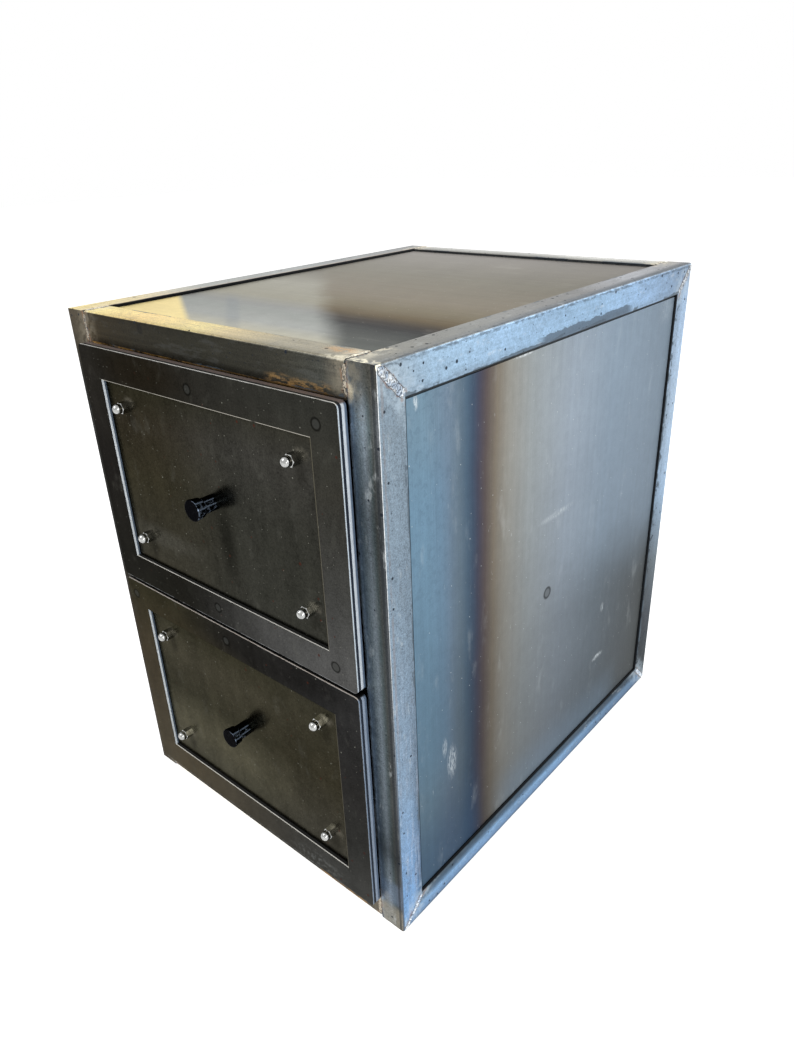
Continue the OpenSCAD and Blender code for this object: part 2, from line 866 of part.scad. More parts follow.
upper_window_frame();
lower_window_frame();
upper_front_plate();
lower_front_plate();
upper_tray_shell();
lower_tray_shell();
upper_tray_front_wall();
lower_tray_front_wall();
upper_tray_rear_wall();
lower_tray_rear_wall();
upper_knob();
lower_knob();
upper_dome_nuts();
lower_dome_nuts();
upper_front_bolts();
lower_front_bolts();
upper_tray_screws();
lower_tray_screws();
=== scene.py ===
import math

import bpy
from mathutils import Matrix, Vector, noise


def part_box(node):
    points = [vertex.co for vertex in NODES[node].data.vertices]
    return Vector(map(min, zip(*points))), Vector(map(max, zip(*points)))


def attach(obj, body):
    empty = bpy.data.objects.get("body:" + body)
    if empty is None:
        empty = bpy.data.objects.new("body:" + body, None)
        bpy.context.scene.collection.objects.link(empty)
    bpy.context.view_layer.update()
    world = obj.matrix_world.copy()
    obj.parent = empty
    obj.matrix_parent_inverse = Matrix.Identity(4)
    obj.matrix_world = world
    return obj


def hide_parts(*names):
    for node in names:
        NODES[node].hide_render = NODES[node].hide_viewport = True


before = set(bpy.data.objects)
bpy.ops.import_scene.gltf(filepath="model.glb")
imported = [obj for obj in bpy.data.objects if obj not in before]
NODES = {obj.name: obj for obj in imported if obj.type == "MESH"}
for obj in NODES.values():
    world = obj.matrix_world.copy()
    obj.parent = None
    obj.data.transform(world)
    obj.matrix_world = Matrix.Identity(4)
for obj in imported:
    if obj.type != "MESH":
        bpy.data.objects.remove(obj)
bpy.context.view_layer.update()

MM = 0.001

# Places below are in millimetres from the frame's front left bottom corner:
# x to the right, y to the back, z up
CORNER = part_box("left_front_post")[0]


def place_of(point):
    """A point of the row frame as a place in millimetres."""
    return (Vector(point) - CORNER) / MM


def extent(node):
    """Lowest and highest corner of a CAD node as places."""
    low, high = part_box(node)
    return place_of(low), place_of(high)


BODY = extent("right_rear_post")[1]
TUBE = extent("left_front_post")[1].x
TOP_RAIL_Z = extent("front_top_rail")[0].z
PANEL_X = extent("right_side_panel")[1].x
FACE_Y = extent("upper_window_frame")[0].y
PLATE_Y = extent("upper_front_plate")[0].y
WINDOW_LEFT = extent("upper_window_frame")[0].x

# Width of a window frame's border, and the spans between its nuts across and upright
BORDER = 30.5
NUT_SPANS = (231, 134)


def linear(colour):
    """Screen colour, 0 to 255, as the linear colour that a shader takes."""
    return tuple(
        c / 255 / 12.92 if c / 255 <= 0.04045 else ((c / 255 + 0.055) / 1.055) ** 2.4
        for c in colour
    ) + (1.0,)


def each_axis(size):
    """A size for each axis, from one number or three."""
    return (size,) * 3 if isinstance(size, (int, float)) else size


# ------------------------ material kit

# A metal turns white where it is seen along its surface. At the angle that the edge tint is set
# for, it has GRAZING_WHITE of the white that its colour lacks. The tint takes HELD_BACK off that,
# which keeps the colour up to about 72 degrees from the normal.
GRAZING_WHITE = 0.473
HELD_BACK = 0.24


class Finish:
    """A procedural material whose textures are sized and placed in millimetres.

    x, y and z are the place on the object, and nx, ny and nz the direction that a face looks in.
    side, front and top are 1 on faces that look along x, y and z. widest is the largest of nx, ny
    and nz: 1 on a flat face and less on a rounded corner. to_side, to_end and to_floor are the
    distances to the nearer end of the cabinet along x, y and z. on_face is a place's two
    coordinates on its face.
    """

    def __init__(self, name, metallic):
        self.material = bpy.data.materials.new(name)
        self.material.use_nodes = True
        self.tree = self.material.node_tree
        self.shader = self.tree.nodes["Principled BSDF"]
        self.shader.inputs["Metallic"].default_value = metallic
        coords = self.add("ShaderNodeTexCoord")
        moved = self.vector("SUBTRACT", coords.outputs["Object"], tuple(CORNER))
        self.place = self.vector("SCALE", moved, 1 / MM)
        self.x, self.y, self.z = self.split(self.place)
        self.nx, self.ny, self.nz = self.split(coords.outputs["Normal"])
        flat = [self.math("ABSOLUTE", n) for n in (self.nx, self.ny, self.nz)]
        self.side, self.front, self.top = (self.spread(n, 0.55, 0.85) for n in flat)
        self.widest = self.most(*flat)
        self.to_side, self.to_end, self.to_floor = (
            self.nearest_end(value, size) for value, size in zip((self.x, self.y, self.z), BODY)
        )
        on_side, _, on_top = (self.math("GREATER_THAN", n, 0.7) for n in flat)
        run = self.math("MULTIPLY_ADD", on_side, self.math("SUBTRACT", self.y, self.x), self.x)
        rise = self.math("MULTIPLY_ADD", on_top, self.math("SUBTRACT", self.y, self.z), self.z)
        join = self.add("ShaderNodeCombineXYZ")
        self.put(join.inputs[0], run)
        self.put(join.inputs[1], rise)
        self.on_face = join.outputs[0]

    def add(self, kind, **settings):
        node = self.tree.nodes.new(kind)
        for key, value in settings.items():
            setattr(node, key, value)
        return node

    def put(self, socket, value):
        if isinstance(value, bpy.types.NodeSocket):
            self.tree.links.new(value, socket)
        else:
            socket.default_value = value

    def math(self, operation, *values):
        node = self.add("ShaderNodeMath", operation=operation)
        for socket, value in zip(node.inputs, values):
            self.put(socket, value)
        return node.outputs[0]

    def chain(self, operation, first, *others):
        for value in others:
            first = self.math(operation, first, value)
        return first

    def total(self, *values):
        return self.chain("ADD", *values)

    def times(self, *values):
        return self.chain("MULTIPLY", *values)

    def most(self, *values):
        return self.chain("MAXIMUM", *values)

    def flip(self, value):
        return self.math("SUBTRACT", 1.0, value)

    def apart(self, a, b):
        return self.math("ABSOLUTE", self.math("SUBTRACT", a, b))

    def swing(self, value, width):
        """A value from 0 to 1, widened and moved to lie round 0."""
        return self.math("MULTIPLY_ADD", value, width, -width / 2)

    def nearest_end(self, value, size):
        """Distance to the nearer of 0 and size."""
        return self.math("SUBTRACT", size / 2, self.apart(value, size / 2))

    def vector(self, operation, a, b, c=None):
        node = self.add("ShaderNodeVectorMath", operation=operation)
        self.put(node.inputs[0], a)
        self.put(node.inputs["Scale"] if operation == "SCALE" else node.inputs[1], b)
        if c is not None:
            self.put(node.inputs[2], c)
        return node.outputs["Value" if operation in ("LENGTH", "DISTANCE") else "Vector"]

    def split(self, value):
        node = self.add("ShaderNodeSeparateXYZ")
        self.put(node.inputs[0], value)
        return tuple(node.outputs)

    def spread(self, value, low, high, to_low=0.0, to_high=1.0, kind="SMOOTHSTEP"):
        """value from low to high becomes to_low to to_high, and stops there."""
        if low > high:
            low, high, to_low, to_high = high, low, to_high, to_low
        node = self.add("ShaderNodeMapRange", interpolation_type=kind)
        for socket, v in zip(node.inputs, (value, low, high, to_low, to_high)):
            self.put(socket, v)
        return node.outputs[0]

    def within(self, value, low, high, soft):
        """1 between low and high, falling to 0 over soft on both sides."""
        rise = self.spread(value, low - soft, low)
        return self.times(rise, self.spread(value, high + soft, high))

    def sized(self, size, seed):
        """The place divided by a size in millimetres, one number or one for each axis."""
        moved = self.vector("ADD", self.place, (seed * 71.3, seed * 37.7, seed * 53.9))
        return self.vector("MULTIPLY", moved, tuple(1 / s for s in each_axis(size)))

    def noise(self, size, detail, rough, seed):
        node = self.add("ShaderNodeTexNoise")
        self.put(node.inputs["Vector"], self.sized(size, seed))
        for socket, v in (("Scale", 1.0), ("Detail", detail), ("Roughness", rough)):
            node.inputs[socket].default_value = v
        return node.outputs[0]

    def wave(self, size, amount, seed, detail=3.0):
        """Noise that swings by about amount to both sides of 0."""
        return self.swing(self.noise(size, detail, 0.6, seed), 3.6 * amount)

    def blotches(self, size, low, high, seed):
        """Patches of noise between the thresholds low and high."""
        return self.spread(self.noise(size, 4.0, 0.65, seed), low, high)

    def spots(self, size, share, radius, seed, soft=0.35):
        """Round spots on a face: a share of cells of that size holds one, up to radius millimetres."""
        node = self.add("ShaderNodeTexVoronoi", voronoi_dimensions="2D")
        moved = self.vector("ADD", self.on_face, (seed * 71.3, seed * 37.7, 0))
        self.put(node.inputs["Vector"], self.vector("SCALE", moved, 1 / size))
        node.inputs["Scale"].default_value = 1.0
        pick, reach, _ = self.split(node.outputs["Color"])
        reach = self.math("MULTIPLY_ADD", reach, 0.65 * radius / size, 0.35 * radius / size)
        ratio = self.math("DIVIDE", node.outputs["Distance"], reach)
        near = self.spread(ratio, 1.0 + soft, 1.0 - soft)
        return self.times(near, self.math("LESS_THAN", pick, share))

    def mix(self, factor, a, b):
        node = self.add("ShaderNodeMix", data_type="RGBA")
        node.clamp_factor = True
        for socket, v in zip((node.inputs[0], node.inputs[6], node.inputs[7]), (factor, a, b)):
            self.put(socket, linear(v) if isinstance(v, tuple) and len(v) == 3 else v)
        return node.outputs[2]

    def paint(self, colour, tone, *share):
        """colour with tone over it, in a share that is the product of what is given."""
        return self.mix(self.times(*share), colour, tone)

    def band(self, value, stops):
        """Shader colours along value, through stops of a value and a colour."""
        start, end = stops[0][0], stops[-1][0]
        node = self.add("ShaderNodeValToRGB")
        elements = node.color_ramp.elements
        while len(elements) < len(stops):
            elements.new(0.5)
        for element, (position, colour) in zip(elements, stops):
            element.position = (position - start) / (end - start)
            element.color = colour
        self.put(node.inputs[0], self.spread(value, start, end, kind="LINEAR"))
        return node.outputs[0]

    def ramp(self, value, stops):
        """Screen colours along value, through stops of a value and a colour."""
        return self.band(value, [(position, linear(colour)) for position, colour in stops])

    def levels(self, value, stops):
        """A number along value, at most 2, through stops of a value and a number."""
        halves = [(position, (level / 2, level / 2, level / 2, 1)) for position, level in stops]
        return self.times(self.split(self.band(value, halves))[0], 2.0)

    def bright(self, colour, amount):
        """colour times amount, which is 1 where nothing changes."""
        return self.vector("SCALE", colour, amount)

    def near(self, point, reach, soft, fray=None):
        """1 at a place, falling to 0 beyond reach, which is one number or one for each axis."""
        moved = self.vector("SUBTRACT", self.place, point)
        scaled = self.vector("MULTIPLY", moved, tuple(1 / r for r in each_axis(reach)))
        far = self.vector("LENGTH", scaled, (0, 0, 0))
        if fray is not None:
            far = self.total(far, fray)
        return self.spread(far, 1 + soft, 1 - soft)

    def ring(self, point, radius, width):
        """A thin ring round a place on a face."""
        far = self.vector("DISTANCE", self.place, point)
        return self.spread(self.apart(far, radius), width, 0.0)

    def bump(self, height, distance, strength):
        """height in 0 to 1 raises the surface by distance millimetres."""
        node = self.add("ShaderNodeBump")
        node.inputs["Strength"].default_value = strength
        node.inputs["Distance"].default_value = distance * MM
        self.put(node.inputs["Height"], height)
        return node.outputs[0]

    def keep_grazing(self, colour):
        """Edge tint of a metal that holds its colour where it is seen along its surface."""
        missing = self.vector("MULTIPLY_ADD", colour, (-HELD_BACK,) * 3, (HELD_BACK,) * 3)
        whole = self.vector("MULTIPLY_ADD", colour, (1 - GRAZING_WHITE,) * 3, (GRAZING_WHITE,) * 3)
        share = self.vector("DIVIDE", missing, whole)
        self.put(self.shader.inputs["Specular Tint"], self.vector("SUBTRACT", (1, 1, 1), share))

    def end(self, colour, roughness, normal):
        self.put(self.shader.inputs["Base Color"], colour)
        self.put(self.shader.inputs["Roughness"], roughness)
        self.put(self.shader.inputs["Normal"], normal)
        return self.material


def wear(node_names, material):
    """Gives CAD nodes a material."""
    for name in node_names:
        mesh = NODES[name].data
        mesh.materials.clear()
        mesh.materials.append(material)


def along(axis, length, across):
    """Sizes for a grain that runs along an axis."""
    return tuple(length if i == axis else across for i in range(3))


# ------------------------ frame tubes

# Axis that a tube runs along
ACROSS, DEEP, UPRIGHT = 0, 1, 2

# Distance from an end of the cabinet at which a point is past the tube for certain
PAST_TUBE = 40.0


def weld_marks(f, colour):
    """Metal bleached pale by the heat beside the welds, with a thin brown margin."""
    fray = f.wave(6, 1.6, 3)
    mitre = f.apart(f.to_end, f.to_floor)
    mitre = f.total(f.times(mitre, 0.7), f.times(f.flip(f.side), 90.0))
    butt = f.apart(f.to_side, TUBE)
    corner = f.most(f.to_end, f.to_floor)
    butt = f.total(butt, f.times(f.side, 90.0), f.spread(corner, 40, 60, 0.0, 90.0), 1.2)
    far = f.total(f.math("MINIMUM", mitre, butt), fray)
    # One bleached tone on each pair of faces, painted lighter on the top and darker on the front as they are
    # lit
    bleached = f.mix(f.front, (182, 198, 210), (150, 142, 124))
    bleached = f.mix(f.top, bleached, (236, 228, 204))
    pale = f.times(f.spread(f.total(far, f.wave(14, 5.0, 4)), 21.0, 4.0), f.blotches(9, 0.38, 0.58, 8))
    colour = f.paint(colour, bleached, pale, f.spread(f.front, 0, 1, 0.5, 0.35))
    straw = f.times(f.within(far, 2.4, 4.6, 0.7), f.blotches(8, 0.46, 0.6, 9))
    return f.paint(colour, (136, 104, 82), straw, 0.5)


def tube_steel(nodes, name, axis, tone, seed, edges=None, speckle=1.0, pit_share=0.3, bleached=False):
    """Hot-rolled square tube that runs along axis. tone gives its colour, with painted light and shade on
    its faces, and edges its corners.
    """
    f = Finish(name, 0.85)
    colour = tone(f)
    cloud = f.wave(along(axis, 90, 26), 0.13, seed)
    mottle = f.noise(5.5, 4, 0.68, seed + 1)
    streak = f.wave(along(axis, 60, 1.6), 0.12, seed + 2)
    speck = f.noise(1.2, 2, 0.6, seed + 3)
    grain = f.total(f.swing(mottle, 0.9), f.swing(speck, 1.2 * speckle))
    colour = f.bright(colour, f.total(1.0, cloud, streak, grain))
    dull = f.blotches(along(axis, 34, 9), 0.53, 0.66, seed + 5)
    colour = f.paint(colour, (92, 94, 94), dull, 0.15)
    if bleached:
        pale = f.blotches(along(axis, 20, 8), 0.58, 0.74, seed + 4)
        colour = f.paint(colour, (208, 214, 216), pale, 0.3)
    colour = weld_marks(f, colour)
    across = [v for i, v in enumerate((f.to_side, f.to_end, f.to_floor)) if i != axis]
    inner = f.most(*(f.math("MINIMUM", distance, PAST_TUBE) for distance in across))
    ragged = f.total(f.wave(along(axis, 26, 9), 2.6, seed + 6), f.wave(2.5, 0.5, seed + 10))
    foot = f.spread(f.total(inner, ragged), 26.2, 26.8)
    wear_and_highlight = f.blotches(along(axis, 60, 50), 0.5, 0.53, seed + 7)
    colour = f.paint(colour, (80, 92, 102), foot, wear_and_highlight, 0.8)
    pits = f.spots(13, pit_share, 1.5, seed, 0.2)
    nicks = f.spots(5.5, 0.22, 0.7, seed + 8, 0.25)
    dark = f.most(pits, f.times(nicks, 0.6))
    colour = f.paint(colour, (30, 36, 46), dark, 0.9)
    if edges:
        colour = edges(f, colour)
    # Painted shade of the gap beside the panels: a near-black line along the inner corners
    gap_shade = f.times(f.spread(inner, TUBE - 2.0, TUBE - 0.9), f.spread(f.y, 3, 6))
    colour = f.paint(colour, (8, 9, 11), gap_shade, 0.96)
    f.keep_grazing(colour)
    rough = f.total(0.38, f.swing(mottle, 0.5), f.times(dark, 0.2))
    height = f.total(f.times(mottle, 0.7), f.times(speck, 0.25), f.times(dark, -0.8))
    wear(nodes, f.end(colour, rough, f.bump(height, 0.35, 0.7)))


def faced(f, side, front, top):
    """One colour on each pair of faces, which paints how the light falls on them: lit and shaded copies of
    one steel.
    """
    colour = f.mix(f.front, side, front)
    return f.mix(f.top, colour, top)


def corner_line(f, colour, tone, amount, seed, below=0.78):
    """A line along a tube's rounded corners, where widest is below a limit."""
    line = f.spread(f.total(f.widest, f.wave(4, 0.012, seed)), below + 0.03, below - 0.03)
    return f.paint(colour, tone, line, amount)


def top_front_line(f, colour):
    """A painted highlight along the rounded corner between the top and the front."""
    corner = f.times(f.spread(f.y, 6, 4), f.spread(f.z, 545, 548))
    return corner_line(f, colour, (244, 238, 214), f.times(corner, 0.9), 143, 0.84)


def cream_rim(f, width):
    """1 in ragged patches that reach back from the front by about a width."""
    reach = f.spread(f.total(f.y, f.wave(5, 4, 190)), width, width - 3)
    return f.times(reach, f.blotches(5, 0.42, 0.52, 191))


def right_post_tone(f):
    side = f.ramp(f.z, [
        (30, (115, 152, 192)), (180, (121, 142, 163)), (330, (118, 135, 150)), (500, (119, 134, 146)),
    ])
    # Painted shade on the side toward the side panel, strongest low down
    dim = f.levels(f.z, [(50, 0.55), (180, 0.38), (330, 0.14), (480, 0.03)])
    side = f.bright(side, f.flip(f.times(f.spread(f.y, 15, 27), dim)))
    front = f.ramp(f.x, [
        (369, (141, 160, 179)), (374, (77, 89, 99)), (379, (86, 96, 102)), (383, (95, 104, 111)),
        (388, (60, 69, 71)), (391, (53, 56, 55)), (396, (69, 72, 75)),
    ])
    shine = f.levels(f.z, [
        (20, 1.4), (50, 1.4), (72, 1.2), (98, 0.5), (130, 0.95), (160, 1.15), (300, 1.12), (350, 1.0),
        (440, 0.7), (480, 1.2), (502, 1.85), (522, 1.6), (545, 0.6),
    ])
    front = f.bright(front, shine)
    front = f.mix(f.spread(f.z, 512, 538, 0.0, 0.7), front, (72, 71, 65))
    front = f.paint(front, (108, 126, 152), f.within(f.z, 36, 54, 10), 0.35)
    front = f.mix(f.spread(f.z, 32, 20, 0.0, 0.6), front, (146, 140, 126))
    bleach = f.near((371.6, 0, 527.5), (3.4, 9, 6), 0.6, f.wave(3, 0.5, 186))
    front = f.paint(front, (216, 204, 176), bleach, 0.7)
    rubs = f.times(f.blotches((30, 3.5, 46), 0.5, 0.7, 187), f.spread(f.z, 330, 200))
    side = f.paint(side, (186, 192, 206), rubs, 0.3)
    return faced(f, side, front, (158, 156, 150))


def right_post_edges(f, colour):
    """A painted highlight along the outer corner, partly real wear, broken in patches and darker low down; a
    thin brown and grey band beside it on the side, and painted shade on the front beside the corner.
    """
    outside = f.spread(f.x, 390, 394)
    outer = f.times(outside, f.spread(f.y, 6, 4))
    band = f.times(f.side, f.within(f.y, 3.4, 5.2, 0.8), f.blotches((9, 9, 46), 0.36, 0.5, 141))
    band = f.times(band, f.spread(f.z, 120, 300))
    colour = f.paint(colour, (126, 112, 106), band, outside, 0.35)
    shade = f.times(f.front, f.within(f.x, BODY.x - 5.0, BODY.x - 3.0, 0.8))
    colour = f.paint(colour, (30, 34, 38), shade, 0.6)
    # The corner painted darker low down
    colour = corner_line(f, colour, (66, 76, 88), f.times(outer, f.spread(f.z, 330, 150), 0.85), 149, 0.86)
    # A painted highlight along the outer corner, partly real wear, broken in patches and fading toward the
    # bottom
    wear_and_highlight = f.times(f.blotches((9, 9, 4), 0.3, 0.46, 148), f.spread(f.z, 140, 440, 0.12, 0.95))
    colour = corner_line(f, colour, (240, 242, 242), f.times(outer, wear_and_highlight), 142, 0.742)
    return top_front_line(f, colour)


def left_post_tone(f):
    # The front is painted shade, darkest round the middle of its height; the top is a painted warm
    # reflection
    front = f.ramp(f.z, [
        (30, (60, 53, 40)), (140, (49, 41, 27)), (250, (36, 29, 18)), (285, (19, 19, 16)),
        (490, (31, 31, 26)), (530, (74, 67, 55)),
    ])
    return faced(f, (128, 146, 162), front, (238, 220, 166))


def left_post_edges(f, colour):
    nicks = f.times(f.spread(f.widest, 0.9, 0.8), f.blotches((6, 6, 2.2), 0.6, 0.66, 144))
    return f.paint(colour, (190, 184, 168), nicks, f.spread(f.z, 520, 500), 0.8)


def rear_post_tone(f):
    # The side is painted darker low down, a painted shadow
    side = f.ramp(f.z, [
        (30, (41, 48, 52)), (110, (61, 67, 74)), (190, (95, 105, 112)), (290, (140, 162, 184)),
        (400, (155, 174, 193)), (500, (155, 177, 201)),
    ])
    # Painted shade on the side toward the side panel
    side = f.bright(side, f.spread(f.to_end, 8, 26, 1.1, 0.82))
    marks = f.blotches((30, 5, 9), 0.55, 0.6, 145)
    side = f.paint(side, (44, 50, 58), marks, f.spread(f.to_end, 16, 24), 0.8)
    return faced(f, side, (96, 102, 108), (170, 172, 172))


def right_top_tone(f):
    side = f.ramp(f.y, [
        (10, (142, 156, 167)), (60, (152, 179, 202)), (150, (150, 179, 206)), (300, (144, 173, 200)),
        (400, (150, 179, 210)), (480, (132, 153, 177)),
    ])
    # Painted shade on the lower part of the side and its rounded lower edge
    side = f.mix(f.spread(f.z, 530, 522, 0.0, 0.5), side, (122, 142, 160))
    top = f.ramp(f.y, [
        (10, (127, 126, 119)), (120, (134, 135, 132)), (300, (126, 126, 126)), (400, (165, 168, 173)),
        (500, (151, 151, 152)),
    ])
    top = f.paint(top, (236, 230, 206), cream_rim(f, 9), 0.8)
    outer = f.times(f.spread(f.x, 385, 393), f.spread(f.y, 60, 300, 0.3, 0.9))
    top = f.mix(outer, top, (98, 104, 110))
    return faced(f, side, (84, 82, 76), top)


def right_top_edges(f, colour):
    """A dark patch along the foot, a dull, speckled ridge and a painted highlight on the corner at the
    front.
    """
    foot = f.total(f.z, f.wave((30, 22, 9), 2.4, 188), f.wave(2.5, 0.5, 189))
    patch = f.times(f.side, f.within(f.y, 215, 362, 16), f.spread(foot, 529.4, 528.6))
    colour = f.paint(colour, (84, 97, 110), patch, 0.8)
    ridge = f.times(f.within(f.z, BODY.z - 3.2, BODY.z - 0.4, 1.2), f.spread(f.x, 392, 395))
    ragged = f.blotches((4, 7, 3), 0.42, 0.58, 146)
    colour = f.paint(colour, (84, 94, 104), ridge, ragged, 0.6)
    return top_front_line(f, colour)


def left_top_tone(f):
    # The top's warm front is a painted warm reflection, fading toward the back
    top = f.ramp(f.y, [
        (10, (229, 211, 152)), (90, (210, 199, 170)), (112, (190, 186, 171)), (150, (159, 161, 157)),
        (300, (147, 150, 149)), (500, (132, 133, 133)),
    ])
    return faced(f, (128, 146, 162), (92, 84, 70), top)


def inner_line(f, colour):
    """The dark inner corner beside the top panel, with a thin warm line before it."""
    inward = f.spread(f.to_side, 26.6, 27.6)
    up = f.spread(f.z, BODY.z - 4, BODY.z - 3)
    warm = f.times(up, f.within(f.to_side, 24.6, 26.2, 0.6))
    colour = f.paint(colour, (206, 180, 150), warm, 0.5)
    return f.paint(colour, (12, 14, 16), inward, up, 0.95)


def bottom_rail_tone(f):
    side = f.ramp(f.z, [
        (2, (81, 96, 112)), (6, (107, 135, 166)), (15, (124, 157, 189)), (20, (84, 108, 130)),
        (23, (71, 89, 106)), (28, (64, 80, 92)),
    ])
    side = f.bright(side, f.spread(f.y, 230, 500, 1.06, 0.68))
    return faced(f, side, (84, 86, 88), (90, 98, 104))


def bottom_rail_edges(f, colour):
    return corner_line(f, colour, (196, 208, 222), f.times(f.spread(f.z, 6, 3), 0.06), 147)


def front_rail_tone(f):
    front = f.ramp(f.x, [
        (32, (61, 52, 37)), (56, (49, 43, 31)), (110, (44, 41, 33)), (200, (41, 40, 33)),
        (280, (47, 46, 40)), (310, (54, 53, 46)), (345, (63, 64, 59)), (362, (84, 81, 73)),
    ])
    band = f.wave((400, 30, 3.2), 0.22, 181)
    front = f.bright(front, f.total(1.0, band))
    # Painted orange glints low on the front, toward the right end
    low = f.total(f.z, f.wave((22, 30, 30), 2.6, 185))
    glow = f.times(f.within(f.x, 292, 346, 12), f.spread(low, 532, 525))
    front = f.paint(front, (170, 134, 84), glow, f.blotches((10, 30, 2.5), 0.42, 0.56, 182), 0.68)
    # The top's golden left part is a painted warm reflection
    top = f.ramp(f.x, [
        (30, (239, 223, 157)), (110, (233, 207, 147)), (190, (221, 206, 150)), (225, (200, 184, 144)),
        (290, (155, 149, 131)), (370, (148, 143, 128)),
    ])
    rust = f.times(f.near((350, 19, BODY.z), (15, 6, 6), 0.7), f.blotches((9, 4, 9), 0.4, 0.56, 193))
    top = f.paint(top, (208, 158, 100), rust, 0.5)
    top = f.paint(top, (232, 226, 204), f.spread(f.x, 340, 356), cream_rim(f, 8), 0.7)
    top = f.bright(top, f.total(1.0, f.wave((300, 1.8, 30), 0.18, 183)))
    top = f.bright(top, f.spread(f.y, 12, 3, 1.0, 0.85))
    return faced(f, (120, 118, 112), front, top)


def front_rail_edges(f, colour):
    """A painted golden glint along the lower corner, broken in patches, and one round mark."""
    # Painted golden glint along the lower corner
    golden_glint = f.times(f.within(f.z, TOP_RAIL_Z + 0.8, TOP_RAIL_Z + 2.6, 0.6), f.spread(f.y, 6, 3))
    golden_glint = f.times(golden_glint, f.blotches((30, 30, 30), 0.36, 0.5, 184), f.spread(f.x, 300, 60, 0.35, 1.0))
    colour = f.paint(colour, (214, 166, 96), golden_glint, 0.9)
    mark = f.near((121, 0, 543), 4.4, 0.2)
    return f.paint(colour, (28, 27, 25), mark, 0.6)


def rear_rail_tone(f):
    top = f.ramp(f.y, [
        (483, (134, 134, 129)), (491, (151, 151, 146)), (499, (183, 183, 179)), (506, (198, 198, 194)),
    ])
    shine = f.spread(f.x, 210, 290, 0.88, 1.15)
    return faced(f, (150, 150, 148), (112, 116, 120), f.bright(top, shine))


def frame_tubes():
    tube_steel(
        ["right_front_post"], "right_post_steel", UPRIGHT, right_post_tone, 61, right_post_edges,
        speckle=1.2, pit_share=0.12, bleached=True,
    )
    tube_steel(
        ["left_front_post"], "left_post_steel", UPRIGHT, left_post_tone, 63, left_post_edges, speckle=0.9
    )
    tube_steel(["right_rear_post", "left_rear_post"], "rear_post_steel", UPRIGHT, rear_post_tone, 67)
    tube_steel(
        ["right_top_rail"], "right_top_steel", DEEP, right_top_tone, 71, right_top_edges,
        speckle=0.7, pit_share=0.4, bleached=True,
    )
    tube_steel(["left_top_rail"], "left_top_steel", DEEP, left_top_tone, 73, inner_line, bleached=True)
    tube_steel(
        ["right_bottom_rail", "left_bottom_rail"], "bottom_rail_steel", DEEP, bottom_rail_tone, 79,
        bottom_rail_edges, speckle=0.9, bleached=True,
    )
    tube_steel(
        ["front_top_rail"], "front_rail_steel", ACROSS, front_rail_tone, 83, front_rail_edges,
        speckle=1.1, pit_share=0.05,
    )
    tube_steel(
        ["front_bottom_rail"], "lower_rail_steel", ACROSS, front_rail_tone, 85, speckle=1.1, pit_share=0.05
    )
    tube_steel(["rear_top_rail", "rear_bottom_rail"], "back_rail_steel", ACROSS, rear_rail_tone, 89)


# ------------------------ sheet panels


def sheet_grain(f, grain_axis, seed, streaks=0.08):
    """A drawn grain, soft clouds, smears, dark specks and fine bright scuffs."""
    fine = f.wave(along(grain_axis, 90, 0.8), streaks, seed + 1, 2)
    broad = f.wave(along(grain_axis, 300, 6), 0.06, seed + 2)
    cloud = f.wave(110, 0.06, seed + 3)
    mottle = f.wave(9, 0.07, seed + 4, 4)
    speck = f.wave(1.4, 0.06, seed + 8, 2)
    level = f.total(1.0, fine, broad, cloud, mottle, speck)
    smear = f.times(f.blotches(along(grain_axis, 60, 24), 0.57, 0.78, seed + 5), 0.12)
    scuff = f.times(f.blotches(along(grain_axis, 10, 3), 0.66, 0.74, seed + 6), 0.18)
    specks = f.times(f.spots(15, 0.3, 0.55, seed + 7), 0.55)
    return level, f.most(smear, scuff, specks), fine


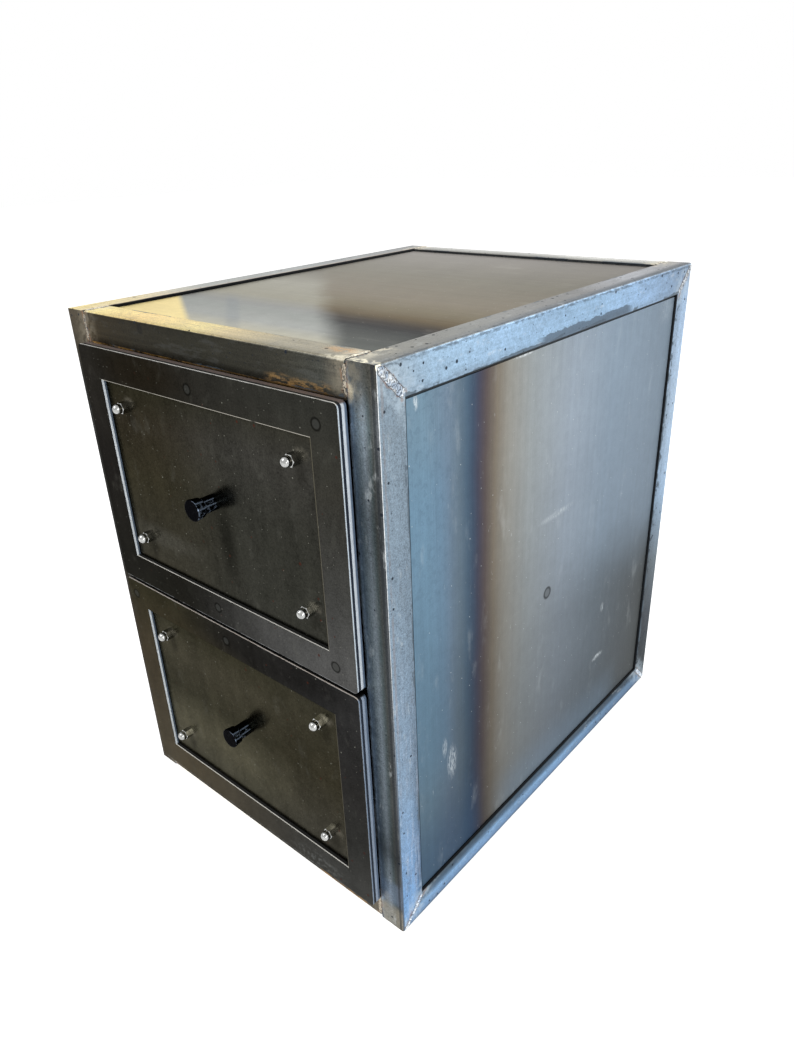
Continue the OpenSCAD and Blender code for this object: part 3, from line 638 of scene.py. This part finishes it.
def side_sheet():
    f = Finish("side_sheet", 0.85)
    wander = f.total(f.y, f.wave(90, 2.4, 11))
    colour = f.ramp(wander, [
        (50, (100, 124, 140)), (78, (95, 112, 128)), (93, (86, 102, 115)), (104, (66, 85, 102)),
        (112, (56, 70, 88)), (120, (60, 61, 75)), (130, (77, 69, 69)), (145, (108, 101, 90)),
        (163, (127, 126, 120)), (200, (131, 137, 139)), (270, (131, 142, 153)), (350, (120, 135, 149)),
        (470, (112, 126, 139)),
    ])
    deep = f.times(f.within(f.y, 30, 66, 24), f.within(f.z, 200, 420, 90))
    colour = f.paint(colour, (88, 126, 154), deep, 0.3)
    # Painted shade, darker toward the bottom
    fade = f.spread(f.total(f.z, f.wave(140, 14, 12)), 60, 510, 0.57, 1.15, "LINEAR")
    corner = f.total(f.z, f.times(f.y, 0.2), f.wave(120, 16, 13))
    shadow = f.times(f.spread(f.y, 180, 480, 0.0, 0.88, "LINEAR"), f.spread(corner, 380, 262))
    colour = f.mix(shadow, f.bright(colour, fade), (60, 62, 60))
    bluer = f.times(f.spread(f.z, 95, 40), f.within(f.y, 190, 380, 60))
    colour = f.paint(colour, (104, 124, 142), bluer, 0.35)
    low = f.times(f.spread(f.z, 150, 45), f.spread(f.y, 140, 110))
    colour = f.paint(colour, (38, 66, 96), low, 0.45)
    level, marks, fine = sheet_grain(f, 2, 14)
    colour = f.mix(marks, f.bright(colour, level), (205, 212, 214))
    blots = f.times(f.blotches(6, 0.5, 0.64, 19), f.spread(f.y, 130, 70), f.spread(f.z, 250, 420, 0.5, 1.0))
    colour = f.paint(colour, (70, 90, 108), blots, 0.22)
    dent = (PANEL_X, 241.5, 262.3)
    colour = f.paint(colour, (74, 78, 80), f.near(dent, 7.0, 0.15), 0.6)
    colour = f.paint(colour, (34, 38, 42), f.ring(dent, 5.6, 2.1), 0.8)
    chips = f.blotches((3, 1.1, 7), 0.44, 0.56, 21)
    for middle, reach, amount in (
        ((80.6, 154.5), (6, 16), 0.45), ((70, 178), (3, 9), 0.4), ((368, 114), (10, 3), 0.7),
        ((370, 182), (3, 5), 0.4), ((252, 347), (26, 3), 0.3), ((462, 508), (14, 12), 0.15),
        ((184, 518), (12, 1.2), 0.8), ((42, 514), (2.2, 5), 0.8),
    ):
        area = f.near((PANEL_X, *middle), (4, *reach), 0.6)
        colour = f.paint(colour, (212, 220, 224), area, chips, amount)
    f.keep_grazing(colour)
    rough = f.total(0.36, f.times(fine, 0.7))
    wear(["right_side_panel", "left_side_panel"], f.end(colour, rough, f.bump(fine, 0.3, 0.6)))


def top_sheet():
    f = Finish("top_sheet", 1.0)
    # Heat tint bands, with a painted dark reflected band across them
    tint_and_dark_reflection = f.ramp(f.total(f.y, f.wave(70, 6, 23)), [
        (40, (83, 86, 82)), (84, (50, 53, 51)), (98, (28, 28, 27)), (112, (42, 33, 20)),
        (132, (87, 73, 45)), (158, (107, 98, 77)), (205, (117, 109, 94)), (320, (112, 108, 96)),
        (470, (127, 123, 118)),
    ])
    # A painted reflection of a light on the front left part, behind a sloping edge
    lit = f.ramp(f.y, [
        (36, (168, 165, 149)), (62, (150, 152, 148)), (98, (138, 141, 137)), (116, (132, 133, 130)),
        (150, (140, 137, 123)), (220, (142, 140, 129)), (320, (92, 88, 80)),
    ])
    slope = f.total(f.times(f.x, 0.93), f.y, f.wave(60, 9, 24))
    colour = f.mix(f.spread(slope, 354, 318), tint_and_dark_reflection, lit)
    # A painted reflected edge: a thin line across the front
    line = f.within(f.total(f.times(f.x, 0.81), f.y), 198, 204, 9)
    colour = f.paint(colour, (112, 120, 128), line, f.spread(f.y, 150, 110), 0.3)
    # A painted warm reflection on the front left corner
    sunny = f.spread(f.total(f.times(f.x, 0.635), f.y), 131, 121)
    colour = f.mix(sunny, colour, (224, 206, 148))
    level, marks, fine = sheet_grain(f, 0, 26, 0.05)
    sweep = f.wave((40, 300, 100), 0.05, 31)
    colour = f.mix(marks, f.bright(colour, f.total(level, sweep)), (206, 204, 194))
    f.keep_grazing(colour)
    rough = f.total(0.34, f.times(fine, 0.7))
    wear(["top_panel"], f.end(colour, rough, f.bump(fine, 0.3, 0.5)))


def plain_sheets():
    f = Finish("back_sheet", 0.85)
    wander = f.total(f.z, f.wave(90, 4, 33))
    colour = f.ramp(wander, [
        (60, (128, 140, 148)), (240, (140, 148, 152)), (352, (150, 148, 140)), (384, (104, 94, 92)),
        (398, (80, 90, 106)), (430, (110, 134, 152)), (520, (118, 146, 166)),
    ])
    level, marks, fine = sheet_grain(f, 0, 34)
    colour = f.mix(marks, f.bright(colour, level), (200, 206, 208))
    material = f.end(colour, f.total(0.36, f.times(fine, 0.7)), f.bump(fine, 0.3, 0.6))
    wear(["back_panel", "bottom_panel"], material)


# ------------------------ drawer fronts

# Middles of the round marks on each window frame, across and up
UPPER_RINGS = ((194.4, 503.9), (347.0, 503.0), (346.0, 292.8), (189.6, 291.7))
LOWER_RINGS = ((41.0, 254.4), (194.0, 256.0))


def dark_plate(name, tone, cut, seed, gloss):
    """Dark hot-rolled plate: mottled scale on its faces, and what cut gives on its edges.

    The cut edges have little metal in them, because a metal there would mirror the dark plate.
    """
    f = Finish(name, 1.0)
    colour = tone(f)
    cloud = f.wave(60, 0.16, seed, 4)
    smear = f.wave((18, 30, 90), 0.16, seed + 7, 4)
    mottle = f.noise(6, 4, 0.68, seed + 1)
    fine = f.noise(1.4, 2, 0.6, seed + 2)
    grain = f.total(f.swing(mottle, 0.6), f.swing(fine, 1.0))
    colour = f.bright(colour, f.total(0.8, cloud, smear, grain))
    wear_and_highlight = f.blotches((20, 30, 36), 0.56, 0.76, seed + 3)
    colour = f.paint(colour, (96, 96, 89), wear_and_highlight, 0.16)
    rust = f.times(f.spots(19, 0.22, 1.4, seed + 4, 0.5), f.spread(f.x, 150, 260, 0.15, 0.8))
    colour = f.mix(rust, colour, (62, 32, 24))
    specks = f.most(f.spots(7, 0.16, 0.45, seed + 5), f.spots(23, 0.3, 0.7, seed + 6))
    colour = f.paint(colour, (136, 136, 126), specks, 0.5)
    colour = f.mix(f.flip(f.front), colour, cut(f))
    f.keep_grazing(colour)
    f.put(f.shader.inputs["Metallic"], f.spread(f.front, 0, 1, 0.15, 1.0))
    rough = f.total(gloss, f.swing(mottle, 0.24), f.times(f.flip(f.front), 0.25))
    return f, colour, rough, f.bump(f.total(mottle, f.times(fine, 0.5)), 0.1, 0.4)


def window_cut(f):
    """Bright sawn edge at the front of the window frame, with painted shade toward the seam behind it; its
    top faces are painted shade behind a pale front line, near black in the gap between the drawers.
    """
    stria = f.total(1.0, f.wave((30, 0.5, 30), 0.12, 151), f.wave(5, 0.12, 152))
    lip = f.spread(f.x, WINDOW_LEFT + BORDER + 2, WINDOW_LEFT + BORDER + 1)
    # Painted shade toward the seam behind the frame
    seam = f.mix(lip, (30, 38, 50), (92, 106, 122))
    depth = f.total(lip, 1.0)
    lower = f.spread(f.z, 275, 268)
    bright = f.paint((206, 218, 228), (134, 150, 170), lower, f.flip(lip))
    bright = f.mix(lip, bright, (240, 248, 254))
    side = f.mix(f.spread(f.math("SUBTRACT", f.y, depth), FACE_Y, FACE_Y + 0.4), bright, seam)
    thin = f.spread(f.y, FACE_Y + 0.7, FACE_Y + 1.2)
    # Painted shade on the top faces, near black in the gap between the drawers
    between = f.within(f.z, 262, 274, 2)
    line = f.mix(between, (236, 234, 226), (204, 194, 184))
    top = f.mix(thin, line, f.mix(between, (30, 30, 30), (6, 6, 6)))
    return f.bright(f.mix(f.top, side, top), stria)


def plate_cut(f):
    """Sawn edge of the back layer: bright on its sides, with painted shade toward the back, and dull mauve
    on its top, painted near black in the gap between the drawers.
    """
    stria = f.total(1.0, f.wave((30, 0.6, 30), 0.16, 153), f.wave(6, 0.12, 154))
    bright = f.mix(f.spread(f.z, 275, 268), (214, 222, 230), (150, 164, 182))
    # Painted shade toward the back of the sides
    side = f.mix(f.spread(f.y, PLATE_Y + 2.2, PLATE_Y + 3.4), bright, (96, 112, 132))
    # Painted shade, near black, in the gap between the drawers
    top = f.mix(f.within(f.z, 262, 276, 2), (104, 92, 88), (6, 6, 6))
    return f.bright(f.mix(f.top, side, top), stria)


def upper_window_tone(f):
    left = f.ramp(f.z, [(288, (28, 27, 23)), (400, (28, 26, 24)), (515, (39, 37, 33))])
    right = f.ramp(f.z, [(290, (79, 79, 78)), (350, (66, 66, 64)), (450, (51, 50, 45)), (512, (46, 46, 42))])
    colour = f.mix(f.spread(f.x, 120, 345), left, right)
    stain = f.near((122, FACE_Y, 508), (56, 20, 20), 0.6)
    return f.paint(colour, (30, 25, 16), stain, 0.7)


def lower_window_tone(f):
    left = f.ramp(f.z, [(35, (76, 69, 55)), (100, (68, 61, 48)), (190, (60, 53, 40)), (268, (44, 41, 28))])
    right = f.ramp(f.z, [(40, (61, 61, 59)), (100, (50, 50, 48)), (160, (42, 41, 40)), (260, (44, 44, 44))])
    colour = f.mix(f.spread(f.x, 70, 330), left, right)
    shade = f.near((255, FACE_Y, 262), (95, 20, 24), 0.5)
    colour = f.paint(colour, (28, 27, 26), shade, 0.8)
    flakes = f.times(f.near((296, FACE_Y, 33), (30, 9, 9), 0.7), f.blotches((5, 9, 5), 0.5, 0.56, 192))
    return f.paint(colour, (104, 106, 104), flakes, 0.5)


def nut_reflections_and_shadows(f, colour, level):
    """A painted reflection at the upper right of each nut, and a painted shadow below it."""
    low, high = extent(f"{level}_dome_nuts")
    middle = (low + high) / 2
    fray = f.wave(5, 0.35, 162)
    for up, across in ((1, -1), (1, 1), (-1, -1), (-1, 1)):
        x = middle.x + across * NUT_SPANS[0] / 2
        z = middle.z + up * NUT_SPANS[1] / 2
        # Painted reflection beside the nut
        area = f.near((x + 9, PLATE_Y, z + 6), (7, 9, 4.5), 0.6, fray)
        colour = f.paint(colour, (134, 129, 116), area, 0.26)
        # Painted shadow below the nut
        shade = f.near((x + 7, PLATE_Y, z - 10), (6, 9, 11), 0.7, fray)
        colour = f.paint(colour, (24, 23, 19), shade, 0.42)
    return colour


def recess_shade(f, colour, level):
    """The plate is darker and browner along the window's top and right edges."""
    high = extent(f"{level}_window_frame")[1]
    top = f.spread(f.z, high.z - BORDER - 5, high.z - BORDER - 1)
    right = f.spread(f.x, high.x - BORDER - 6, high.x - BORDER - 3)
    colour = f.paint(colour, (26, 25, 20), top, 0.45)
    return f.paint(colour, (42, 34, 18), right, 0.55)


def upper_plate_tone(f):
    left = f.ramp(f.z, [(320, (54, 52, 44)), (400, (48, 45, 34)), (460, (46, 42, 33)), (488, (42, 40, 30))])
    right = f.ramp(f.z, [(320, (50, 50, 45)), (400, (48, 48, 43)), (460, (55, 54, 50)), (488, (46, 45, 39))])
    colour = f.mix(f.spread(f.x, 110, 250), left, right)
    arc = f.near((112, PLATE_Y, 340), (50, 9, 10), 0.7, f.wave(16, 0.3, 161))
    colour = f.paint(colour, (84, 83, 77), arc, 0.3)
    shade = f.near((214, PLATE_Y, 368), (10, 9, 34), 0.7)
    colour = f.paint(colour, (22, 22, 19), shade, 0.7)
    return recess_shade(f, nut_reflections_and_shadows(f, colour, "upper"), "upper")


def lower_plate_tone(f):
    left = f.ramp(f.z, [
        (62, (71, 69, 58)), (100, (78, 75, 61)), (150, (54, 52, 41)), (200, (62, 59, 48)),
        (236, (49, 47, 36)),
    ])
    right = f.ramp(f.z, [(62, (64, 62, 55)), (150, (52, 49, 38)), (236, (54, 52, 42))])
    colour = f.mix(f.spread(f.x, 180, 320), left, right)
    return recess_shade(f, nut_reflections_and_shadows(f, colour, "lower"), "lower")


def window_lines(f, colour, level, edge_line_tone):
    """Thin lines along the window's edges on the frame's face, the top one a painted highlight on the upper
    frame, and a rim round the frame that is partly wear and partly painted highlight.
    """
    low, high = extent(f"{level}_window_frame")
    left, right = low.x + BORDER, high.x - BORDER
    bottom, top = low.z + BORDER, high.z - BORDER
    across = f.within(f.x, left, right, 0.5)
    upright = f.within(f.z, bottom, top, 0.5)
    # Along the window's top edge: on the upper frame a painted highlight
    upper = f.times(f.within(f.z, top, top + 0.35, 0.3), across, f.blotches((40, 9, 9), 0.3, 0.45, 171))
    colour = f.paint(colour, edge_line_tone, upper, 0.8)
    far = f.times(f.within(f.x, right, right + 0.4, 0.4), upright)
    colour = f.paint(colour, (128, 122, 104), far, 0.35)
    near = f.times(f.within(f.x, left - 0.9, left - 0.2, 0.3), upright)
    colour = f.paint(colour, (18, 20, 24), near, 0.5)
    # A rim along the frame's top, right and bottom edges, partly wear and partly painted highlight
    rim = f.most(
        f.spread(f.z, high.z - 0.6, high.z),
        f.spread(f.x, high.x - 0.6, high.x),
        f.spread(f.z, low.z + 0.7, low.z),
    )
    return f.paint(colour, (186, 188, 190), rim, f.blotches(12, 0.36, 0.56, 172), 0.45)


def drawer_fronts():
    for level, tone, rings, seed, edge_line_tone in (
        ("upper", upper_window_tone, UPPER_RINGS, 41, (172, 168, 158)),
        ("lower", lower_window_tone, LOWER_RINGS, 57, (34, 32, 24)),
    ):
        f, colour, rough, normal = dark_plate(f"{level}_window_steel", tone, window_cut, seed, 0.34)
        colour = f.mix(f.front, colour, window_lines(f, colour, level, edge_line_tone))
        for x, z in rings:
            middle = (x, FACE_Y, z)
            colour = f.paint(colour, (52, 53, 51), f.near(middle, 4.0, 0.2), 0.6)
            colour = f.paint(colour, (12, 12, 10), f.ring(middle, 4.6, 1.6), 0.85)
        wear([f"{level}_window_frame"], f.end(colour, rough, normal))
    for level, tone, seed in (("upper", upper_plate_tone, 49), ("lower", lower_plate_tone, 65)):
        f, colour, rough, normal = dark_plate(f"{level}_plate_steel", tone, plate_cut, seed, 0.24)
        wear([f"{level}_front_plate"], f.end(colour, rough, normal))


# ------------------------ hardware


def plain_metal(name, tone, seed, rough, size, swing, metallic=1.0):
    """Plain metal with a soft cloud, a fine speckle and handling marks."""
    f = Finish(name, metallic)
    fine = f.noise(size / 12, 2, 0.6, seed + 1)
    level = f.total(1.0, f.wave(size, swing, seed), f.swing(fine, swing * 2))
    colour = f.bright(linear(tone)[:3], level)
    grime = f.blotches(size * 0.6, 0.56, 0.72, seed + 2)
    colour = f.paint(colour, tuple(int(c * 0.55) for c in tone), grime, 0.4)
    return f.end(colour, f.math("MULTIPLY_ADD", fine, 0.24, rough - 0.12), f.bump(fine, 0.04, 0.4))


def tray_finish():
    """Zinc-coated sheet with a soft spangle."""
    f = Finish("tray_zinc", 0.85)
    cells = f.add("ShaderNodeTexVoronoi")
    f.put(cells.inputs["Vector"], f.sized(9, 97))
    cells.inputs["Scale"].default_value = 1.0
    tone = f.split(cells.outputs["Color"])[0]
    fine = f.noise(2, 3, 0.6, 98)
    level = f.total(0.84, f.times(tone, 0.22), f.times(fine, 0.2))
    colour = f.bright(linear((158, 163, 166))[:3], level)
    return f.end(colour, f.math("MULTIPLY_ADD", tone, 0.16, 0.3), f.bump(fine, 0.04, 0.4))


def knob_plastic():
    """Glossy black plastic, with dust, and painted bluish-white highlights in patches and streaks along its
    sides.

    The black is set as a metal, whose edge tint keeps it dark, and the pale marks aren't.
    """
    f = Finish("knob_plastic", 1.0)
    dust = f.blotches(2.6, 0.5, 0.72, 101)
    scratch = f.noise((0.5, 7, 3), 3, 0.6, 102)
    # Painted highlights on the sides that face along x: patches, and streaks at two heights of the normal
    facing = f.times(f.spread(f.nx, 0.35, 0.8), f.flip(f.front))
    highlight_patches = f.times(f.blotches((3.2, 3, 3.2), 0.46, 0.64, 103), facing)
    streaks = f.most(f.within(f.nz, 0.74, 0.8, 0.04), f.within(f.nz, 0.2, 0.3, 0.06))
    streaks = f.times(streaks, f.flip(f.front), f.spread(f.nx, 0.1, 0.4))
    colour = f.paint((11, 11, 13), (120, 124, 130), dust, 0.012)
    # pale gathers the painted highlights, kept off the front face
    pale = f.most(f.times(highlight_patches, 0.4), f.times(streaks, 0.5))
    pale = f.times(pale, f.spread(f.front, 0.5, 0.1))
    colour = f.mix(pale, colour, (150, 168, 192))
    f.keep_grazing(colour)
    f.put(f.shader.inputs["Metallic"], f.flip(pale))
    rough = f.total(0.16, f.times(dust, 0.12), f.times(scratch, 0.1))
    return f.end(colour, rough, f.bump(scratch, 0.02, 0.5))


def hardware():
    levels = ("upper", "lower")
    sides = [f"{level}_{side}" for level in levels for side in ("left", "right")]
    sheet = plain_metal("slide_zinc", (176, 180, 184), 111, 0.3, 30, 0.08)
    wear([f"{s}_{part}_member" for s in sides for part in ("cabinet", "intermediate", "drawer")], sheet)
    cages = plain_metal("cage_steel", (150, 148, 140), 113, 0.28, 10, 0.12)
    wear([f"{s}_{part}_ball_cage" for s in sides for part in ("outer", "inner")], cages)
    wear(["panel_ledges", "slide_bars"], plain_metal("bar_steel", (84, 88, 92), 117, 0.45, 30, 0.2, 0.7))
    nuts = plain_metal("bright_nut", (168, 169, 167), 119, 0.12, 4, 0.34)
    wear([f"{level}_dome_nuts" for level in levels], nuts)
    screws = plain_metal("zinc_fastener", (184, 186, 184), 123, 0.28, 8, 0.12)
    names = [f"{level}_{part}" for level in levels for part in ("front_bolts", "tray_screws")]
    wear(["cabinet_slide_screws"] + names, screws)
    trays = [f"{level}_tray_{part}" for level in levels for part in ("shell", "front_wall", "rear_wall")]
    wear(trays, tray_finish())
    wear([f"{level}_knob" for level in levels], knob_plastic())


# ------------------------ weld beads

# Widths and heights of the beads, and the length of one ripple
MITRE_WIDTHS = {
    ("front", "top"): 8.4, ("back", "top"): 6.6, ("front", "bottom"): 5.0, ("back", "bottom"): 6.0,
}
MITRE_CROWN = 0.57
MITRE_PITCH = 3.1
BUTT_WIDTH = 4.6
BUTT_CROWN = 0.5
BUTT_PITCH = 7.0

# Distances from a mitre's outer and inner corner to its bead's ends, and from a butt joint's ends
MITRE_ENDS = (2.2, 2.4)
BUTT_END = 3

# Depth of a bead's foot in the groove of a butt joint, and under a flat face
BUTT_ROOT = 1.8
FLAT_ROOT = 0.25

# Length of one step along a bead, and the number of facets across it
BEAD_STEP = 0.3
BEAD_LANES = 14


def weld_metal():
    """Bright rippled weld, with painted shade between its ripples and one tone on each pair of faces as lit,
    lighter near the floor, with sooty patches and a scorched rim.
    """
    f = Finish("weld_metal", 0.85)
    ripple = f.add("ShaderNodeAttribute", attribute_name="ripple").outputs["Fac"]
    rim = f.add("ShaderNodeAttribute", attribute_name="rim").outputs["Fac"]
    side = f.mix(f.blotches(4, 0.4, 0.6, 133), (206, 210, 212), (150, 164, 180))
    colour = faced(f, side, (150, 142, 128), (226, 220, 200))
    # Painted shade in the grooves between ripples, lighter on the crests
    colour = f.bright(colour, f.spread(ripple, 0.1, 0.75, 0.26, 1.15))
    colour = f.bright(colour, f.spread(f.z, 60, 30, 1.0, 1.3))
    sooty = f.blotches(2.6, 0.54, 0.64, 135)
    colour = f.paint(colour, (70, 76, 86), sooty, 0.7)
    scorched = f.times(f.spread(rim, 0.6, 0.9), f.blotches(5, 0.46, 0.62, 134))
    colour = f.paint(colour, (124, 88, 66), scorched, 0.75)
    mottle = f.noise(3, 4, 0.65, 131)
    colour = f.bright(colour, f.total(1.0, f.swing(mottle, 1.5)))
    f.keep_grazing(colour)
    fine = f.noise(0.8, 3, 0.6, 132)
    return f.end(colour, f.math("MULTIPLY_ADD", mottle, 0.3, 0.1), f.bump(fine, 0.08, 0.5))


def put_in_scene(name, data):
    piece = bpy.data.objects.new(name, data)
    bpy.context.scene.collection.objects.link(piece)
    return piece


def bead(name, start, end, up, width, crown, pitch, seed, roots=(FLAT_ROOT, FLAT_ROOT)):
    """A rippled bead on the face that up points out of. roots is how deep its two sides reach in."""
    start, end, up = Vector(start), Vector(end), Vector(up)
    ahead = (end - start).normalized()
    across = up.cross(ahead)
    length = (end - start).length
    steps = int(length / BEAD_STEP)
    verts, ripples, rims, faces = [], [], [], []
    for i in range(steps + 1):
        u = length * i / steps
        taper = min(1.0, math.sqrt(max(0.0, min(u, length - u) / (width * 0.45))) + 0.02)
        wander = noise.noise(Vector((u / 5, seed, 0))) * width * 0.1
        half = width / 2 * taper * (1 + 0.2 * noise.noise(Vector((u / 3, seed, 7))))
        middle = start + ahead * u + across * wander
        for j in range(BEAD_LANES + 1):
            v = -1 + 2 * j / BEAD_LANES
            phase = (u / pitch + 0.55 * v * v + 1.2 * noise.noise(Vector((u / 4, 1.5 * v, seed)))) % 1.0
            ripple = math.sin(math.pi * phase**0.6)
            rise = crown * taper * (0.55 + 0.45 * ripple) * math.sqrt(1 - v * v)
            verts.append(middle + across * v * half + up * rise)
            ripples.append(ripple * (1 - v**4))
            rims.append(v * v)
        verts += [middle + across * half - up * roots[0], middle - across * half - up * roots[1]]
        ripples += [0.0, 0.0]
        rims += [1.0, 1.0]
    ring = BEAD_LANES + 3
    for i in range(steps):
        for j in range(ring):
            a, b = i * ring + j, i * ring + (j + 1) % ring
            faces.append((a + ring, b + ring, b, a))
    faces.append(tuple(reversed(range(ring))))
    faces.append(tuple(steps * ring + j for j in range(ring)))
    mesh = bpy.data.meshes.new(name)
    mesh.from_pydata([CORNER + v * MM for v in verts], [], faces)
    mesh.attributes.new("ripple", "FLOAT", "POINT").data.foreach_set("value", ripples)
    mesh.attributes.new("rim", "FLOAT", "POINT").data.foreach_set("value", rims)
    for polygon in mesh.polygons:
        polygon.use_smooth = len(polygon.vertices) == 4
    return put_in_scene(name, mesh)


def beads():
    made = []

    def butt(name, run, up, deep_first):
        roots = (BUTT_ROOT, FLAT_ROOT) if deep_first else (FLAT_ROOT, BUTT_ROOT)
        made.append(bead(name, *run, up, BUTT_WIDTH, BUTT_CROWN, BUTT_PITCH, len(made), roots))

    for side, x, out in (("left", 0.0, -1), ("right", BODY.x, 1)):
        for (end, height), width in MITRE_WIDTHS.items():
            corner = Vector((x, 0.0 if end == "front" else BODY.y, 0.0 if height == "bottom" else BODY.z))
            inward = Vector((0, 1 if end == "front" else -1, 1 if height == "bottom" else -1))
            run = (corner + inward * MITRE_ENDS[0], corner + inward * (TUBE - MITRE_ENDS[1]))
            name = f"mitre_bead_{side}_{end}_{height}"
            made.append(bead(name, *run, (out, 0, 0), width, MITRE_CROWN, MITRE_PITCH, len(made)))
        seam = x - out * TUBE
        for end, y, facing in (("front", 0.0, -1), ("back", BODY.y, 1)):
            for height, low in (("top", BODY.z - TUBE), ("bottom", 0.0)):
                run = ((seam, y, low + BUTT_END), (seam, y, low + TUBE - BUTT_END))
                butt(f"butt_bead_{side}_{end}_{height}", run, (0, facing, 0), out * facing > 0)
            first, last = sorted((y - facing * BUTT_END, y - facing * (TUBE - BUTT_END)))
            run = ((seam, first, BODY.z), (seam, last, BODY.z))
            butt(f"butt_bead_{side}_{end}_over", run, (0, 0, 1), out > 0)
    finish = weld_metal()
    for piece in made:
        piece.data.materials.append(finish)
        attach(piece, "cabinet")
        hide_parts("weld_beads")


# ------------------------ studio


def white_to_the_eye(tree, plain, white):
    """Strength that is plain for soft light, and white for the eye, a reflection or glass."""
    path = tree.nodes.new("ShaderNodeLightPath")
    seen = path.outputs["Is Camera Ray"]
    for ray in ("Is Glossy Ray", "Is Transmission Ray"):
        either = tree.nodes.new("ShaderNodeMath")
        either.operation = "MAXIMUM"
        tree.links.new(seen, either.inputs[0])
        tree.links.new(path.outputs[ray], either.inputs[1])
        seen = either.outputs[0]
    level = tree.nodes.new("ShaderNodeMapRange")
    tree.links.new(seen, level.inputs["Value"])
    level.inputs["To Min"].default_value = plain
    level.inputs["To Max"].default_value = white
    return level.outputs[0]


def floor():
    reach = 12.0
    mesh = bpy.data.meshes.new("floor")
    corners = [(-reach, -reach, 0), (reach, -reach, 0), (reach, reach, 0), (-reach, reach, 0)]
    mesh.from_pydata(corners, [], [(0, 1, 2, 3)])
    piece = put_in_scene("floor", mesh)
    pale = bpy.data.materials.new("floor_white")
    pale.use_nodes = True
    shader = pale.node_tree.nodes["Principled BSDF"]
    shader.inputs["Base Color"].default_value = (0.86, 0.86, 0.86, 1)
    shader.inputs["Roughness"].default_value = 0.9
    shader.inputs["Specular IOR Level"].default_value = 0.1
    shader.inputs["Emission Color"].default_value = (1, 1, 1, 1)
    glow = white_to_the_eye(pale.node_tree, 0.0, 0.6)
    pale.node_tree.links.new(glow, shader.inputs["Emission Strength"])
    mesh.materials.append(pale)


def softbox(name, place, aim, size, watts):
    lamp = bpy.data.lights.new(name, "AREA")
    lamp.shape = "DISK"
    lamp.size = size
    lamp.energy = watts
    box = put_in_scene(name, lamp)
    box.location = place
    box.rotation_euler = (Vector(aim) - Vector(place)).to_track_quat("-Z", "Y").to_euler()


def camera():
    lens = bpy.data.cameras.new("camera")
    lens.sensor_fit = "AUTO"
    lens.sensor_width = 36
    lens.lens = 27.06
    lens.clip_start = 0.05
    lens.clip_end = 50
    eye = put_in_scene("camera", lens)
    right = Vector((0.75693, 0.65240, -0.03778))
    up = Vector((-0.26142, 0.35528, 0.89746))
    forward = Vector((-0.59892, 0.66944, -0.43948))
    turn = Matrix((right, up, -forward)).transposed().to_4x4()
    place = CORNER + Vector((748.22, -377.68, 681.85)) * MM
    eye.matrix_world = Matrix.Translation(place) @ turn
    bpy.context.scene.camera = eye


def studio():
    world = bpy.data.worlds.new("studio")
    bpy.context.scene.world = world
    world.use_nodes = True
    back = world.node_tree.nodes["Background"]
    back.inputs["Color"].default_value = (1, 1, 1, 1)
    world.node_tree.links.new(white_to_the_eye(world.node_tree, 0.6, 1.0), back.inputs["Strength"])
    floor()
    softbox("key", (-1.1, -1.7, 2.0), (0, 0, 0.3), 1.1, 24)
    softbox("fill", (2.2, -0.4, 1.3), (0, 0, 0.3), 1.6, 14)
    softbox("rim", (0.6, 2.0, 1.8), (0, 0, 0.4), 1.4, 14)
    softbox("sheen", (-1.56, 1.74, 1.69), (0, 0, 0.55), 2.2, 5)
    softbox("glint", (1.9, -1.45, 0.7), (0, 0, 0.3), 0.6, 9)
    camera()
    bpy.context.scene.view_settings.view_transform = "Standard"


frame_tubes()
side_sheet()
top_sheet()
plain_sheets()
drawer_fronts()
hardware()
beads()
studio()

bpy.context.view_layer.update()
